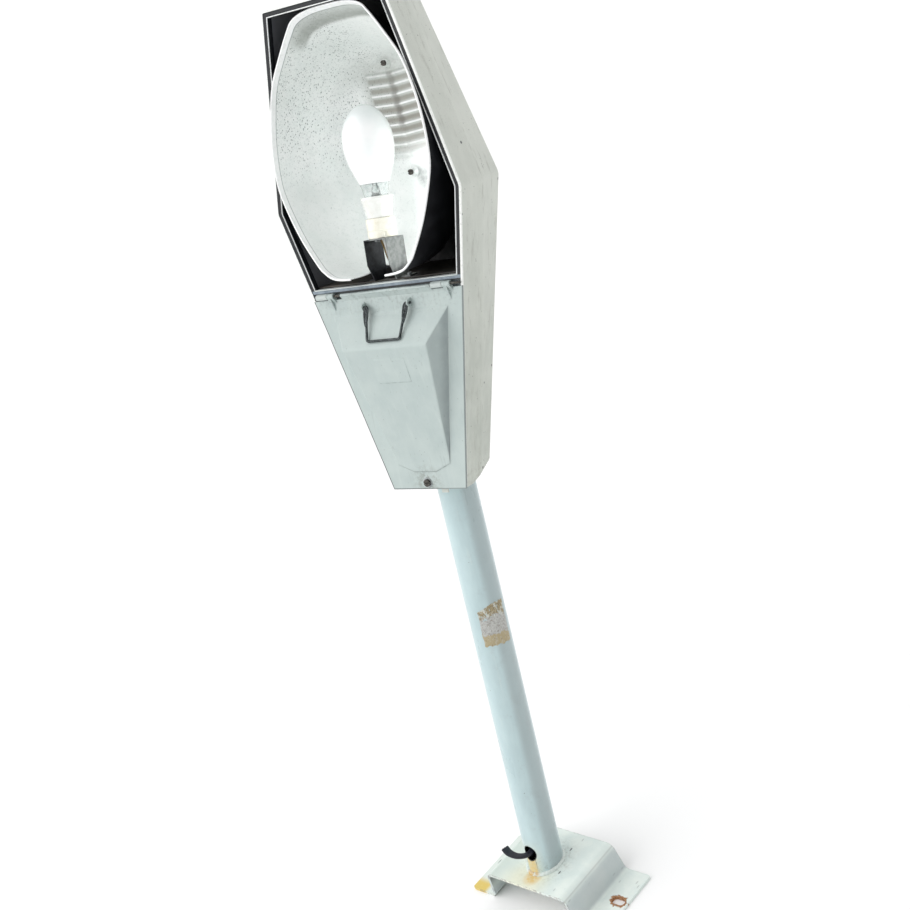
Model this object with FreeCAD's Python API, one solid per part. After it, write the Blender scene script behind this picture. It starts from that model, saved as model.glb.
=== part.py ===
"""Street lamp head on a short bracket arm, built as separate named solids in one row frame.

Row frame, millimetres: z = 0 is the underside of the bracket flanges, the origin is midway between
the two fixing slots, +X runs across the flanges, -Y is the open front side, +Z points off the wall.
"""
import FreeCAD, Part
import math
import os

V = FreeCAD.Vector
Rot = FreeCAD.Rotation
Place = FreeCAD.Placement

# ---------------------------------------------------------------- driving dimensions
# mounting bracket
PLATE_T = 5.0                 # sheet thickness
PLATE_TOP = 56.0              # height of the raised plate over the wall
PLATE_HALF_TOP = 89.0         # half width at the upper bend
PLATE_HALF_FOOT = 98.0        # half width at the lower bend
PLATE_HALF_OUT = 150.0        # half width over the flanges
PLATE_HALF_Y = 65.0
BEND_R_TOP = 14.0
BEND_R_FOOT = 8.0
SLOT_X = 131.0                # slot centre from the middle
SLOT_LEN = 26.0
SLOT_R = 6.5

# arm tube
TUBE_R = 30.15                # 60.3 mm outside diameter
TUBE_WALL = 2.9
TUBE_FOOT_Y = -5.7
TUBE_LEAN = 13.87             # degrees towards +Y
TUBE_FREE = 672.0             # plate to the foot of the head, along the tube
SPIGOT = 118.0                # length inside the head
CABLE_HOLE_AT = 31.0
CABLE_HOLE_R = 12.5
WELD_R = 4.5

# head, local frame: x across, y to the back, z up the tube; depth is counted from the front face
HEAD_YAW = 10.27
HEAD_TILT = 1.2
FACE = 62.7                   # front face to tube axis
WALL = 3.0
SHOULDER_W = 436.0
TOP_W = 723.0
SECTIONS = (                  # height, then half outline as (half width, depth)
    (0.0, ((69.7, 0.0), (68.5, 38.0), (60.0, 73.0), (30.0, 104.0))),
    (SHOULDER_W, ((175.0, 0.0), (172.0, 58.0), (158.0, 117.0), (112.0, 165.0))),
    (TOP_W, ((112.3, 0.0), (111.0, 42.0), (102.0, 81.0), (66.0, 120.0))),
)
FRONT_OPEN = 6.0              # how far the cavity cutter runs past the front face
FOOT_SLOPE_FROM = 20.0        # the foot wall slopes up from this depth
FOOT_SLOPE = 0.357

# gasket channel round the optical opening
CHAN_OUT = 3.4
CHAN_IN = 9.3
LIP_T = 1.6
CHAN_DEPTH = 8.0
CHAN_FLOOR = 2.0

# crossbar and hinge
BAR_LOW = 298.0
BAR_TOP = 316.0
HINGE_W = 305.0
HINGE_D = -3.0
PIN_R = 2.0
KNUCKLE_R = 4.5
RUN = 0.06                    # radial running clearance

# gear cover
COVER_T = 2.0
COVER_TOP_W = 299.0
COVER_GAP = 0.3
RIDGE_W = 227.7
RIDGE_U = 79.8
RIDGE_H = 31.7
RAISE_TOP_W = 273.2
RAISE_TOP_U = 109.0
RAISE_LOW_W = 40.0
RAISE_LOW_U = 50.0
SCREW_W = 10.5

# bail
BAIL_R = 1.65
BAIL_W = 284.0
BAIL_D = -5.0
BAIL_U = 38.7
BAIL_END_U = 31.0
BAIL_END_W = 237.3
BAIL_END_D = -28.0

# optics, own frame on the lamp axis: origin at the widest part of the bulb
OPTIC_W = 512.0
OPTIC_D = 36.0
OPTIC_TILT = 5.7
RIM_Y = -47.8
SHEET = 1.2
RIM = ((0.0, 193.0), (35.0, 191.5), (62.0, 184.0), (76.0, 170.0), (96.0, 142.0), (120.0, 103.0),
       (132.5, 63.0), (140.6, 20.0), (143.0, -26.0), (137.5, -60.0), (116.0, -115.0),
       (92.0, -157.0), (80.0, -172.0), (62.0, -183.0), (30.0, -186.0), (0.0, -186.5))
BOWL = (                      # depth, then side, top and foot scale, then lean of the section
    (RIM_Y, 1.0, 1.0, 1.0, 0.0),
    (-36.0, 0.995, 0.975, 0.995, 0.0),
    (-15.0, 0.985, 0.92, 0.985, 0.0),
    (22.0, 0.95, 0.80, 0.95, 0.03),
    (55.0, 0.875, 0.70, 0.875, 0.08),
    (76.0, 0.76, 0.64, 0.75, 0.13),
    (84.0, 0.60, 0.58, 0.60, 0.149),
)
BOWL_MID = 5.0
BULB_R = 37.5
SEATS = ((618.0, 114.8), (457.0, 122.6))   # height and depth of the reflector's two screws
SEAT_H = 4.6

# lampholder bracket
LEG_U = 21.5                  # half width over the legs
LEG_T = 2.0
FOOT_U = 31.0                 # foot screw from the middle

# gear behind the cover
TRAY_D = 105.0
TRAY_T = 2.0
CAN_R = 17.5
CAN_U = 27.5
CAN_D = 86.0


# ---------------------------------------------------------------- frames
TUBE = Place(V(0, TUBE_FOOT_Y, PLATE_TOP), Rot(V(1, 0, 0), -TUBE_LEAN))
HEAD = TUBE.multiply(Place(V(0, 0, TUBE_FREE), Rot(V(0, 0, 1), HEAD_YAW)
                           .multiply(Rot(V(1, 0, 0), -HEAD_TILT))))
OPTIC = HEAD.multiply(Place(V(0, OPTIC_D - FACE, OPTIC_W), Rot(V(1, 0, 0), -OPTIC_TILT)))
OPTIC_IN_HEAD = Place(V(0, OPTIC_D - FACE, OPTIC_W), Rot(V(1, 0, 0), -OPTIC_TILT))
TUBE_IN_HEAD = HEAD.inverse().multiply(TUBE)

parts = {}


def add(name, shape, frame=None):
    """Keep one named solid, moved from its own frame into the row frame."""
    shape = shape.removeSplitter()
    if shape.ShapeType != "Solid" and len(shape.Solids) == 1:
        shape = shape.Solids[0]
    if frame is not None:
        shape = moved(shape, frame)
    parts[name] = shape


def moved(shape, frame):
    out = shape.copy()
    out.transformShape(frame.toMatrix(), True, False)
    return out


def hd(u, depth, w):
    """Head-frame point from across, depth behind the front face, and height."""
    return V(u, depth - FACE, w)


def hbox(u0, u1, d0, d1, w0, w1):
    return Part.makeBox(u1 - u0, d1 - d0, w1 - w0, hd(u0, d0, w0))


def cyl(r, start, end):
    axis = end - start
    return Part.makeCylinder(r, axis.Length, start, axis)


def cyl_u(r, u0, u1, depth, w):
    return cyl(r, hd(u0, depth, w), hd(u1, depth, w))


def cyl_d(r, u, w, d0, d1):
    return cyl(r, hd(u, d0, w), hd(u, d1, w))


def face(points):
    return Part.Face(Part.makePolygon(list(points) + [points[0]]))


def solid_from(quads):
    return Part.makeSolid(Part.makeShell([face(q) for q in quads]))


def fuse(shapes):
    first = shapes[0]
    return first.fuse(shapes[1:]).removeSplitter() if len(shapes) > 1 else first


def inset(poly, amounts):
    """Move each edge of a closed convex polygon inwards and intersect neighbours."""
    n = len(poly)
    area = sum(poly[i][0] * poly[(i + 1) % n][1] - poly[(i + 1) % n][0] * poly[i][1]
               for i in range(n))
    side = 1.0 if area > 0 else -1.0
    lines = []
    for i in range(n):
        (x0, y0), (x1, y1) = poly[i], poly[(i + 1) % n]
        length = math.hypot(x1 - x0, y1 - y0)
        nx, ny = -(y1 - y0) / length * side, (x1 - x0) / length * side
        lines.append((nx, ny, nx * x0 + ny * y0 + amounts[i]))
    out = []
    for i in range(n):
        a, b = lines[i - 1], lines[i]
        det = a[0] * b[1] - a[1] * b[0]
        out.append(((a[2] * b[1] - a[1] * b[2]) / det, (a[0] * b[2] - a[2] * b[0]) / det))
    return out


def rounded_path(points, bend):
    """Polyline through the points with every inner corner rounded."""
    edges = []
    last = points[0]
    for i in range(1, len(points) - 1):
        a = (points[i - 1] - points[i]).normalize()
        b = (points[i + 1] - points[i]).normalize()
        half = 0.5 * math.acos(max(-1.0, min(1.0, a.dot(b))))
        cut = bend / math.tan(half)
        p0 = points[i] + a * cut
        p1 = points[i] + b * cut
        mid_dir = (a + b).normalize()
        centre = points[i] + mid_dir * (bend / math.sin(half))
        mid = centre - mid_dir * bend
        edges.append(Part.makeLine(last, p0))
        edges.append(Part.Arc(p0, mid, p1).toShape())
        last = p1
    edges.append(Part.makeLine(last, points[-1]))
    return Part.Wire(edges)


def sweep(path, profile):
    pipe = Part.BRepOffsetAPI.MakePipeShell(path)
    pipe.setFrenetMode(False)
    pipe.add(profile)
    pipe.build()
    pipe.makeSolid()
    return pipe.shape()


def round_rod(points, r, bend):
    path = rounded_path(points, bend)
    direction = points[1] - points[0]
    ring = Part.Wire([Part.makeCircle(r, points[0], direction)])
    return sweep(path, ring)


def spline_rod(points, r):
    curve = Part.BSplineCurve()
    curve.interpolate(points)
    start_dir = curve.tangent(curve.FirstParameter)[0]
    ring = Part.Wire([Part.makeCircle(r, points[0], start_dir)])
    return sweep(Part.Wire([curve.toShape()]), ring)


def revolve(profile):
    """Solid of revolution about local z from (radius, height) pairs."""
    pts = [V(r, 0, z) for r, z in profile]
    return face(pts).revolve(V(0, 0, 0), V(0, 0, 1), 360)


# ---------------------------------------------------------------- bracket and arm
def hat_outline(shift):
    """Half-sheet line of the hat, moved down by shift, as corner points and bend radii."""
    top = PLATE_TOP - shift
    foot = PLATE_T - shift
    lean = (PLATE_HALF_FOOT - PLATE_HALF_TOP) / (PLATE_TOP - PLATE_T)
    side = shift * math.hypot(1.0, lean)
    x_top = PLATE_HALF_TOP - side + lean * shift
    x_foot = PLATE_HALF_FOOT - side + lean * shift
    return top, foot, x_top, x_foot


def make_bracket():
    top, foot, x_top, x_foot = hat_outline(0.0)
    top2, foot2, x_top2, x_foot2 = hat_outline(PLATE_T)
    outer = [V(-PLATE_HALF_OUT, 0, foot), V(-x_foot, 0, foot), V(-x_top, 0, top),
             V(x_top, 0, top), V(x_foot, 0, foot), V(PLATE_HALF_OUT, 0, foot)]
    inner = [V(-PLATE_HALF_OUT, 0, foot2), V(-x_foot2, 0, foot2), V(-x_top2, 0, top2),
             V(x_top2, 0, top2), V(x_foot2, 0, foot2), V(PLATE_HALF_OUT, 0, foot2)]

    def rounded(points, radii):
        edges = []
        last = points[0]
        for i in range(1, len(points) - 1):
            seg = rounded_path([points[i - 1], points[i], points[i + 1]], radii[i - 1])
            arc = seg.Edges[1]
            p0 = seg.Edges[0].Vertexes[-1].Point
            p1 = seg.Edges[2].Vertexes[0].Point
            edges.append(Part.makeLine(last, p0))
            edges.append(arc)
            last = p1
        edges.append(Part.makeLine(last, points[-1]))
        return edges

    up = rounded(outer, (BEND_R_FOOT, BEND_R_TOP, BEND_R_TOP, BEND_R_FOOT))
    low = rounded(inner, (BEND_R_FOOT + PLATE_T, BEND_R_TOP - PLATE_T,
                          BEND_R_TOP - PLATE_T, BEND_R_FOOT + PLATE_T))
    ends = [Part.makeLine(outer[0], inner[0]), Part.makeLine(outer[-1], inner[-1])]
    section = Part.Face(Part.Wire(Part.__sortEdges__(up + low + ends)))
    section.translate(V(0, -PLATE_HALF_Y, 0))
    plate = section.extrude(V(0, 2 * PLATE_HALF_Y, 0))
    corners = [e for e in plate.Edges
               if abs(abs(e.CenterOfMass.x) - PLATE_HALF_OUT) < 1e-3
               and abs(abs(e.CenterOfMass.y) - PLATE_HALF_Y) < 1e-3
               and abs(e.Length - PLATE_T) < 1e-3]
    plate = plate.makeFillet(5.0, corners)
    half = SLOT_LEN / 2 - SLOT_R
    for side in (-1, 1):
        x = side * SLOT_X
        slot = Part.makeBox(2 * half, 2 * SLOT_R, 20, V(x - half, -SLOT_R, -5))
        for end in (-half, half):
            slot = slot.fuse(Part.makeCylinder(SLOT_R, 20, V(x + end, 0, -5)))
        plate = plate.cut(slot)
    return plate


def make_tube():
    body = Part.makeCylinder(TUBE_R, TUBE_FREE + SPIGOT + 20, V(0, 0, -20))
    body = body.cut(Part.makeCylinder(TUBE_R - TUBE_WALL, TUBE_FREE + SPIGOT + 60, V(0, 0, -40)))
    hole = Part.makeCylinder(CABLE_HOLE_R, 40, V(0, 0, CABLE_HOLE_AT), V(0, -1, 0))
    body = moved(body.cut(hole), TUBE)
    below = Part.makeBox(200, 200, 60, V(-100, -100, PLATE_TOP - 60))
    return body.cut(below)


def make_weld():
    lean = math.radians(TUBE_LEAN)
    centre = V(0, TUBE_FOOT_Y, PLATE_TOP)
    ring = Part.Ellipse(centre + V(0, TUBE_R / math.cos(lean), 0), centre + V(TUBE_R, 0, 0),
                        centre).toShape()
    start = ring.Vertexes[0].Point
    along = ring.tangentAt(ring.FirstParameter)
    bead = sweep(Part.Wire([ring]), Part.Wire([Part.makeCircle(WELD_R, start, along)]))
    bead = bead.cut(moved(Part.makeCylinder(TUBE_R, 120, V(0, 0, -60)), TUBE))
    return bead.cut(Part.makeBox(200, 200, 60, V(-100, -100, PLATE_TOP - 60)))


def make_label():
    span = 85.0
    ring = Part.makeCylinder(TUBE_R + 0.3, 74.0, V(0, 0, 396.0), V(0, 0, 1), span)
    ring = ring.cut(Part.makeCylinder(TUBE_R, 90.0, V(0, 0, 390.0)))
    ring.rotate(V(0, 0, 0), V(0, 0, 1), -80.0)
    return ring


def make_supply_cable():
    """Flat two-core cable: cut end outside, through the hole, up the tube to the terminals."""
    at = CABLE_HOLE_AT
    high = TUBE_FREE + SPIGOT
    points = [V(-38, -50, at + 13), V(-28, -50, at + 6), V(-14, -46, at + 1), V(-3, -38, at),
              V(0, -28, at + 1), V(0, -19, at + 7), V(0, -12, at + 22), V(0, -5, at + 62),
              V(0, 0, at + 180),
              V(0, 0, 400), V(0, 0, high - 40), V(0, 4, high - 10), V(0, 14, high + 6),
              V(0, 20.5, high + 16)]
    curve = Part.BSplineCurve()
    curve.interpolate(points)
    t0 = curve.tangent(curve.FirstParameter)[0]
    flat = V(0, 0, 1) - t0 * t0.z
    flat.normalize()
    thin = t0.cross(flat).normalize()
    wide, narrow = 5.2, 3.1
    straight = wide - narrow
    a = points[0] + flat * straight + thin * narrow
    b = points[0] - flat * straight + thin * narrow
    c = points[0] - flat * straight - thin * narrow
    d = points[0] + flat * straight - thin * narrow
    profile = Part.Wire([Part.makeLine(a, b), Part.Arc(b, points[0] - flat * wide, c).toShape(),
                         Part.makeLine(c, d), Part.Arc(d, points[0] + flat * wide, a).toShape()])
    return sweep(Part.Wire([curve.toShape()]), profile)


# ---------------------------------------------------------------- head shell
def station(w):
    """Half outline at height w, between the given sections."""
    for (w0, low), (w1, high) in zip(SECTIONS, SECTIONS[1:]):
        if w <= w1:
            k = (w - w0) / (w1 - w0)
            return [(a[0] + (b[0] - a[0]) * k, a[1] + (b[1] - a[1]) * k)
                    for a, b in zip(low, high)]
    return list(SECTIONS[-1][1])


def ring_at(w, wall):
    half = station(w)
    poly = half + [(-u, d) for u, d in reversed(half)]
    n = len(poly)
    if wall:
        amounts = [wall] * n
        amounts[-1] = -FRONT_OPEN
        poly = inset(poly, amounts)
    return Part.makePolygon([hd(u, d, w) for u, d in poly] + [hd(poly[0][0], poly[0][1], w)])


def shell_solid(wall):
    low = 0.0 if not wall else wall
    high = TOP_W if not wall else TOP_W - wall
    solid = Part.makeLoft([ring_at(w, wall) for w in (low, SHOULDER_W, high)], True, True)
    lift = 0.0 if not wall else wall * math.hypot(1.0, FOOT_SLOPE)
    deep = 140.0
    wedge = [(FOOT_SLOPE_FROM, lift), (deep, lift + FOOT_SLOPE * (deep - FOOT_SLOPE_FROM)),
             (deep, -20.0), (FOOT_SLOPE_FROM, -20.0)]
    cutter = face([hd(-200, d, w) for d, w in wedge]).extrude(V(400, 0, 0))
    return solid.cut(cutter)


OUTLINE = [(-69.7, 0.0), (69.7, 0.0), (175.0, SHOULDER_W), (112.3, TOP_W), (-112.3, TOP_W),
           (-175.0, SHOULDER_W)]


def outline_block(amount, d0, d1, w0):
    """The head outline moved inwards, as a block between two depths and above a height."""
    poly = inset(OUTLINE, [amount] * len(OUTLINE))
    block = face([hd(u, d0, w) for u, w in poly]).extrude(V(0, d1 - d0, 0))
    return block.common(hbox(-250, 250, d0 - 1, d1 + 1, w0, 900))


def outline_ring(out, inn, d0, d1, w0):
    return outline_block(out, d0, d1, w0).cut(outline_block(inn, d0 - 1, d1 + 1, w0 - 1))


def make_housing(outer, inner, bowl_fill):
    shell = outer.cut(inner)
    shell = shell.cut(hbox(-250, 250, -1, COVER_T + COVER_GAP, -5, COVER_TOP_W + 0.5))
    floor = outline_ring(1.0, CHAN_IN, CHAN_DEPTH, CHAN_DEPTH + CHAN_FLOOR, BAR_TOP)
    lip = outline_ring(CHAN_IN, CHAN_IN + LIP_T, 0.0, CHAN_DEPTH + CHAN_FLOOR, BAR_TOP)
    rim = floor.fuse(lip).common(outer)
    posts = [cyl_d(8.6, 0, SCREW_W, COVER_T + 0.6, 17.0).common(outer)]
    for w, depth in SEATS:
        post = cyl_d(6.5, 0, w, 100, 175).common(outer).cut(bowl_fill)
        post = post.cut(cyl_d(7.0, 0, w, 90, depth - 0.6))
        posts.append(post.cut(cyl_d(2.2, 0, w, 90, 132)))
    tab = hbox(20, 32, 3, 5, -7, 1)
    shell = fuse([shell, rim, tab] + posts)
    shell = shell.cut(cyl_d(3.6, 0, SCREW_W, 0, 30))
    entry = moved(Part.makeCylinder(TUBE_R + 1.6, 200, V(0, 0, TUBE_FREE - 60)), TUBE_IN_HEAD)
    return shell.cut(entry.common(hbox(-90, 90, -10, 130, -30, 60)))


def make_gasket(inner):
    sides = outline_ring(CHAN_OUT, CHAN_IN - 0.2, 0.8, CHAN_DEPTH, 309.8)
    low = outline_block(CHAN_OUT, 0.8, CHAN_DEPTH, 309.8).common(
        hbox(-200, 200, 0, 10, 309.8, 314.2))
    return fuse([sides, low]).common(inner)


def make_crossbar(inner, pins):
    floor = hbox(-200, 200, CHAN_DEPTH, CHAN_DEPTH + CHAN_FLOOR, BAR_LOW, BAR_TOP)
    web = hbox(-200, 200, 1.5, CHAN_DEPTH + CHAN_FLOOR, 308.0, 309.6)
    lip = hbox(-200, 200, 0.0, CHAN_DEPTH + CHAN_FLOOR, 314.4, BAR_TOP)
    lip = lip.common(outline_block(CHAN_IN, 0.0, 12.0, 300))
    bar = fuse([floor, web, lip]).common(inner)
    for u0, u1 in ((-131.0, -110.0), (90.0, 109.7)):
        lug = fuse([cyl_u(KNUCKLE_R, u0, u1, HINGE_D, HINGE_W),
                    hbox(u0, u1, HINGE_D, 9.0, HINGE_W - 2.5, HINGE_W + KNUCKLE_R)])
        bar = bar.fuse(lug)
    return bar.cut(fuse(pins))


# ---------------------------------------------------------------- gear cover
def raised_wedge(top_u, top_w, ridge_u, ridge_w, ridge_d, low_u, low_w, base):
    a, b = hd(-top_u, base, top_w), hd(top_u, base, top_w)
    c, d = hd(-ridge_u, ridge_d, ridge_w), hd(ridge_u, ridge_d, ridge_w)
    e, f = hd(-low_u, base, low_w), hd(low_u, base, low_w)
    return solid_from([(a, b, d, c), (c, d, f, e), (a, c, e), (b, f, d), (a, e, f, b)])


def make_cover():
    half_top = 69.7 + (175.0 - 69.7) * COVER_TOP_W / SHOULDER_W
    rim = [(-69.7, 0.0), (69.7, 0.0), (half_top, COVER_TOP_W), (-half_top, COVER_TOP_W)]
    plate = face([hd(u, 0.0, w) for u, w in rim]).extrude(V(0, COVER_T, 0))
    panel = [(-RAISE_TOP_U, RAISE_TOP_W), (RAISE_TOP_U, RAISE_TOP_W), (RAISE_LOW_U, RAISE_LOW_W),
             (21.0, 28.0), (-21.0, 28.0), (-RAISE_LOW_U, RAISE_LOW_W)]
    panel = face([hd(u, -1.6, w) for u, w in panel]).extrude(V(0, 1.6, 0))
    wedge = raised_wedge(RAISE_TOP_U, RAISE_TOP_W, RIDGE_U, RIDGE_W, -RIDGE_H,
                         RAISE_LOW_U, RAISE_LOW_W, 0.0)
    bead = fuse([cyl_u(2.4, -84, 87, HINGE_D, HINGE_W),
                 face([hd(-84, d, w) for d, w in ((0.0, 296.0), (1.9, 297.0), (1.9, 299.0),
                                                  (-1.6, 305.0), (-4.6, 304.4))]
                      ).extrude(V(171, 0, 0))])
    bits = [plate, panel, wedge, bead, cyl_d(10.0, 0, SCREW_W, -0.4, 1.0)]
    for u0, u1 in ((-109.4, -97.0), (110.3, 124.0)):
        mid = 0.5 * (u0 + u1)
        bits.append(cyl_u(KNUCKLE_R, u0, u1, HINGE_D, HINGE_W))
        bits.append(face([hd(u0, d, w) for d, w in ((0.5, 294.0), (1.8, 299.0), (0.6, 303.4),
                                                    (HINGE_D - 4.3, 303.5), (-1.4, 296.0))]
                         ).extrude(V(u1 - u0, 0, 0)))
        bits.append(face([hd(mid - 1, d, w) for d, w in ((0.5, 282.0), (0.5, 300.0),
                                                         (HINGE_D - 4.0, 303.0), (-1.0, 283.0))]
                         ).extrude(V(2, 0, 0)))
    for side in (-1, 1):
        u0 = min(side * 42.4, side * 44.4)
        bits.append(fuse([hbox(u0, u0 + 2, BAIL_D, 0.5, BAIL_W - 5, BAIL_W + 5),
                          cyl_u(5.0, u0, u0 + 2, BAIL_D, BAIL_W)]))
    cover = fuse(bits)
    hollow = raised_wedge(106.5, 272.4, 77.7, 227.3, -RIDGE_H + 2.1, 48.0, 41.0, COVER_T + 0.1)
    cover = cover.cut(hollow)
    cover = cover.cut(cyl_u(PIN_R + RUN, -150, -90, HINGE_D, HINGE_W))
    cover = cover.cut(cyl_u(PIN_R + RUN, 105, 150, HINGE_D, HINGE_W))
    cover = cover.cut(cyl_u(BAIL_R + 0.1, -60, 60, BAIL_D, BAIL_W))
    return cover.cut(cyl_d(2.5 + RUN, 0, SCREW_W, -5, 6))


def make_bail():
    points = []
    for side in (-1, 1):
        row = [hd(side * 47, BAIL_D, BAIL_W), hd(side * BAIL_U, BAIL_D, BAIL_W),
               hd(side * BAIL_END_U, BAIL_END_D, BAIL_END_W)]
        points += row if side < 0 else list(reversed(row))
    return round_rod(points, BAIL_R, 3.2)


def make_cover_screw():
    head = cyl_d(5.6, 0, SCREW_W, -4.6, -1.9)
    head = head.cut(hbox(-6, 6, -5, -3.4, SCREW_W - 0.7, SCREW_W + 0.7))
    return fuse([head, cyl_d(2.5, 0, SCREW_W, -1.9, 14.0)])


def make_cover_washer():
    return cyl_d(8.0, 0, SCREW_W, -1.6, -0.4).cut(cyl_d(2.5 + RUN, 0, SCREW_W, -5, 5))


# ---------------------------------------------------------------- reflector
def bowl_wire(y, side, top, foot, slope, less):
    """Closed smooth section of the reflector in the optic frame."""
    points = []
    loop = list(RIM) + [(-x, z) for x, z in reversed(RIM[1:-1])]
    for x, z in loop:
        dx = x * side
        dz = (z - BOWL_MID) * (top if z > BOWL_MID else foot)
        reach = math.hypot(dx, dz)
        k = (reach - less) / reach
        points.append(V(dx * k, y - slope * dz * k, BOWL_MID + dz * k))
    curve = Part.BSplineCurve()
    curve.interpolate(points, PeriodicFlag=True)
    return Part.Wire([curve.toShape()])


def bowl_solid(less, back):
    wires = []
    for i, (y, side, top, foot, slope) in enumerate(BOWL):
        shift = -back * (i / (len(BOWL) - 1.0))
        if less and i == 0:
            shift = -3.0
        wires.append(bowl_wire(y + shift, side, top, foot, slope, less))
    return Part.makeLoft(wires, True, False)


def make_reflector(fill):
    bowl = fill.cut(bowl_solid(SHEET, SHEET))
    ribs = []
    for i in range(11):
        z = 96.0 - 13.0 * i
        for side in (-1, 1):
            y = 83.4 - 0.149 * (z - BOWL_MID)
            tip = V(0, y, z)
            out = V(side * 46.0, y - 0.149 * 9.0, z + 9.0)
            along = (out - tip).normalize()
            up = V(0, -1, 0)
            across = along.cross(up).normalize()
            tri = face([tip - across * 3.2, tip + across * 3.2, tip + up * 4.0])
            ribs.append(tri.extrude(out - tip))
    bowl = fuse([bowl] + ribs)
    return bowl.cut(Part.makeBox(64, 132, 120, V(-32, -100, -230)))


def build_optics():
    fill = bowl_solid(0.0, 0.0)
    fill_head = moved(fill, OPTIC_IN_HEAD)
    bowl = moved(make_reflector(fill), OPTIC_IN_HEAD)
    seats = []
    for w, d in SEATS:
        seats.append(cyl_d(6.5, 0, w, d - SEAT_H, d - 0.6))
    bowl = fuse([bowl] + seats)
    for w, _ in SEATS:
        bowl = bowl.cut(cyl_d(2.2, 0, w, 90, 150))
    return bowl, fill_head


def reflector_screw(w, d):
    seat = d - SEAT_H
    head = cyl_d(4.2, 0, w, seat - 3.0, seat)
    head = head.cut(hbox(-5, 5, seat - 4.0, seat - 1.8, w - 0.6, w + 0.6))
    return fuse([head, cyl_d(2.2, 0, w, seat, 131.0)])


# ---------------------------------------------------------------- lamp and lampholder
def smooth_profile(points, close_low, close_high):
    curve = Part.BSplineCurve()
    curve.interpolate([V(r, 0, z) for r, z in points])
    edges = [curve.toShape()]
    corner = [V(points[-1][0], 0, points[-1][1])] + close_high + close_low
    corner.append(V(points[0][0], 0, points[0][1]))
    for a, b in zip(corner, corner[1:]):
        if (a - b).Length > 1e-6:
            edges.append(Part.makeLine(a, b))
    return Part.Face(Part.Wire(edges)).revolve(V(0, 0, 0), V(0, 0, 1), 360)


def make_envelope():
    outside = ((13.0, -89.0), (14.6, -82.0), (17.6, -74.0), (19.4, -65.0), (22.3, -55.0),
               (28.5, -40.0), (34.5, -22.0), (BULB_R, 0.0), (35.4, 20.0), (27.6, 38.0),
               (14.5, 51.5), (0.0, 56.0))
    outer = smooth_profile(outside, [V(0, 0, -89)], [V(0, 0, 56)])
    inside = [(r - 1.0, z) for r, z in outside[1:-1]] + [(0.0, 55.0)]
    return outer.cut(smooth_profile(inside, [V(0, 0, -82)], [V(0, 0, 55)]))


def make_lamp_cap():
    return revolve([(0, -115), (4.5, -115), (5.5, -112.8), (11.0, -110.5), (13.1, -108.5),
                    (13.1, -90.0), (13.6, -89.0), (0, -89.0)])


def make_arc_tube():
    return fuse([revolve([(0, -24), (6, -24), (9, -20), (9, 20), (6, 24), (0, 24)]),
                 Part.makeCylinder(2.0, 52, V(0, 0, -76)),
                 Part.makeCylinder(9.0, 8.0, V(0, 0, -82))])


def make_skirt():
    return revolve([(14.6, -106), (19, -106), (24.2, -76), (23.4, -75), (21.6, -75),
                    (14.6, -90)])


def make_holder_base():
    body = revolve([(0, -135), (20.6, -135), (21.6, -134), (21.6, -107), (20.8, -106),
                    (14.6, -106), (14.6, -119), (0, -119)])
    for side in (-1, 1):
        body = body.cut(Part.makeCylinder(2.2, 12, V(side * 13, 0, -136)))
    return body


def make_holder_shell():
    return revolve([(13.4, -112), (14.5, -112), (14.5, -91), (13.4, -91)])


def make_holder_contact():
    return revolve([(0, -119), (6, -119), (6, -117.5), (3, -116), (0, -115.6)])


def make_holder_bracket():
    top = Part.makeBox(2 * LEG_U, 40, LEG_T, V(-LEG_U, -20, -135 - LEG_T))
    top = top.cut(Part.makeCylinder(8, 10, V(0, 0, -140)))
    side_view = [V(0, -20, -137), V(0, 20, -137), V(0, 20, -215), V(0, 0, -215), V(0, -20, -172)]
    legs = [moved(face(side_view).extrude(V(LEG_T, 0, 0)), Place(V(x, 0, 0), Rot()))
            for x in (-LEG_U, LEG_U - LEG_T)]
    frame = moved(fuse([top] + legs), OPTIC_IN_HEAD)
    frame = frame.cut(hbox(-60, 60, -60, 120, 200, 318))
    for side in (-1, 1):
        inner_u, outer_u = sorted((side * (LEG_U - LEG_T), side * (FOOT_U + 8)))
        frame = frame.fuse(hbox(inner_u, outer_u, 17, 35, 318, 320))
        frame = frame.cut(cyl(2.1, hd(side * FOOT_U, 26, 300), hd(side * FOOT_U, 26, 330)))
    for side in (-1, 1):
        hole = Part.makeCylinder(2.2, 10, V(side * 13, 0, -140))
        frame = frame.cut(moved(hole, OPTIC_IN_HEAD))
    return frame


def make_holder_screw(side):
    shank = Part.makeCylinder(2.2, 13, V(side * 13, 0, -137))
    head = Part.makeCylinder(4.0, 2.6, V(side * 13, 0, -139.6))
    return fuse([head, shank.common(Part.makeCylinder(2.2, 12.9, V(side * 13, 0, -137)))])


def make_foot_screw(side):
    x = side * FOOT_U
    head = cyl(3.9, hd(x, 26, 320), hd(x, 26, 322.6))
    return fuse([head, cyl(2.1, hd(x, 26, 312.0), hd(x, 26, 320))])


# ---------------------------------------------------------------- gear
def make_partition(inner):
    plate = hbox(-200, 200, 14, 170, 316, 318).common(inner)
    plate = plate.cut(cyl(19, hd(0, 42, 310), hd(0, 42, 325)))
    for side in (-1, 1):
        plate = plate.cut(cyl(2.1, hd(side * FOOT_U, 26, 310), hd(side * FOOT_U, 26, 330)))
    return plate


def make_tray(inner):
    plate = hbox(-64, 64, TRAY_D, TRAY_D + TRAY_T, 134, 300)
    posts = [cyl_d(5, u, w, TRAY_D + TRAY_T, 170).common(inner) for u, w in
             ((-50, 145), (50, 145), (-50, 290), (50, 290))]
    return fuse([plate] + posts)


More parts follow.
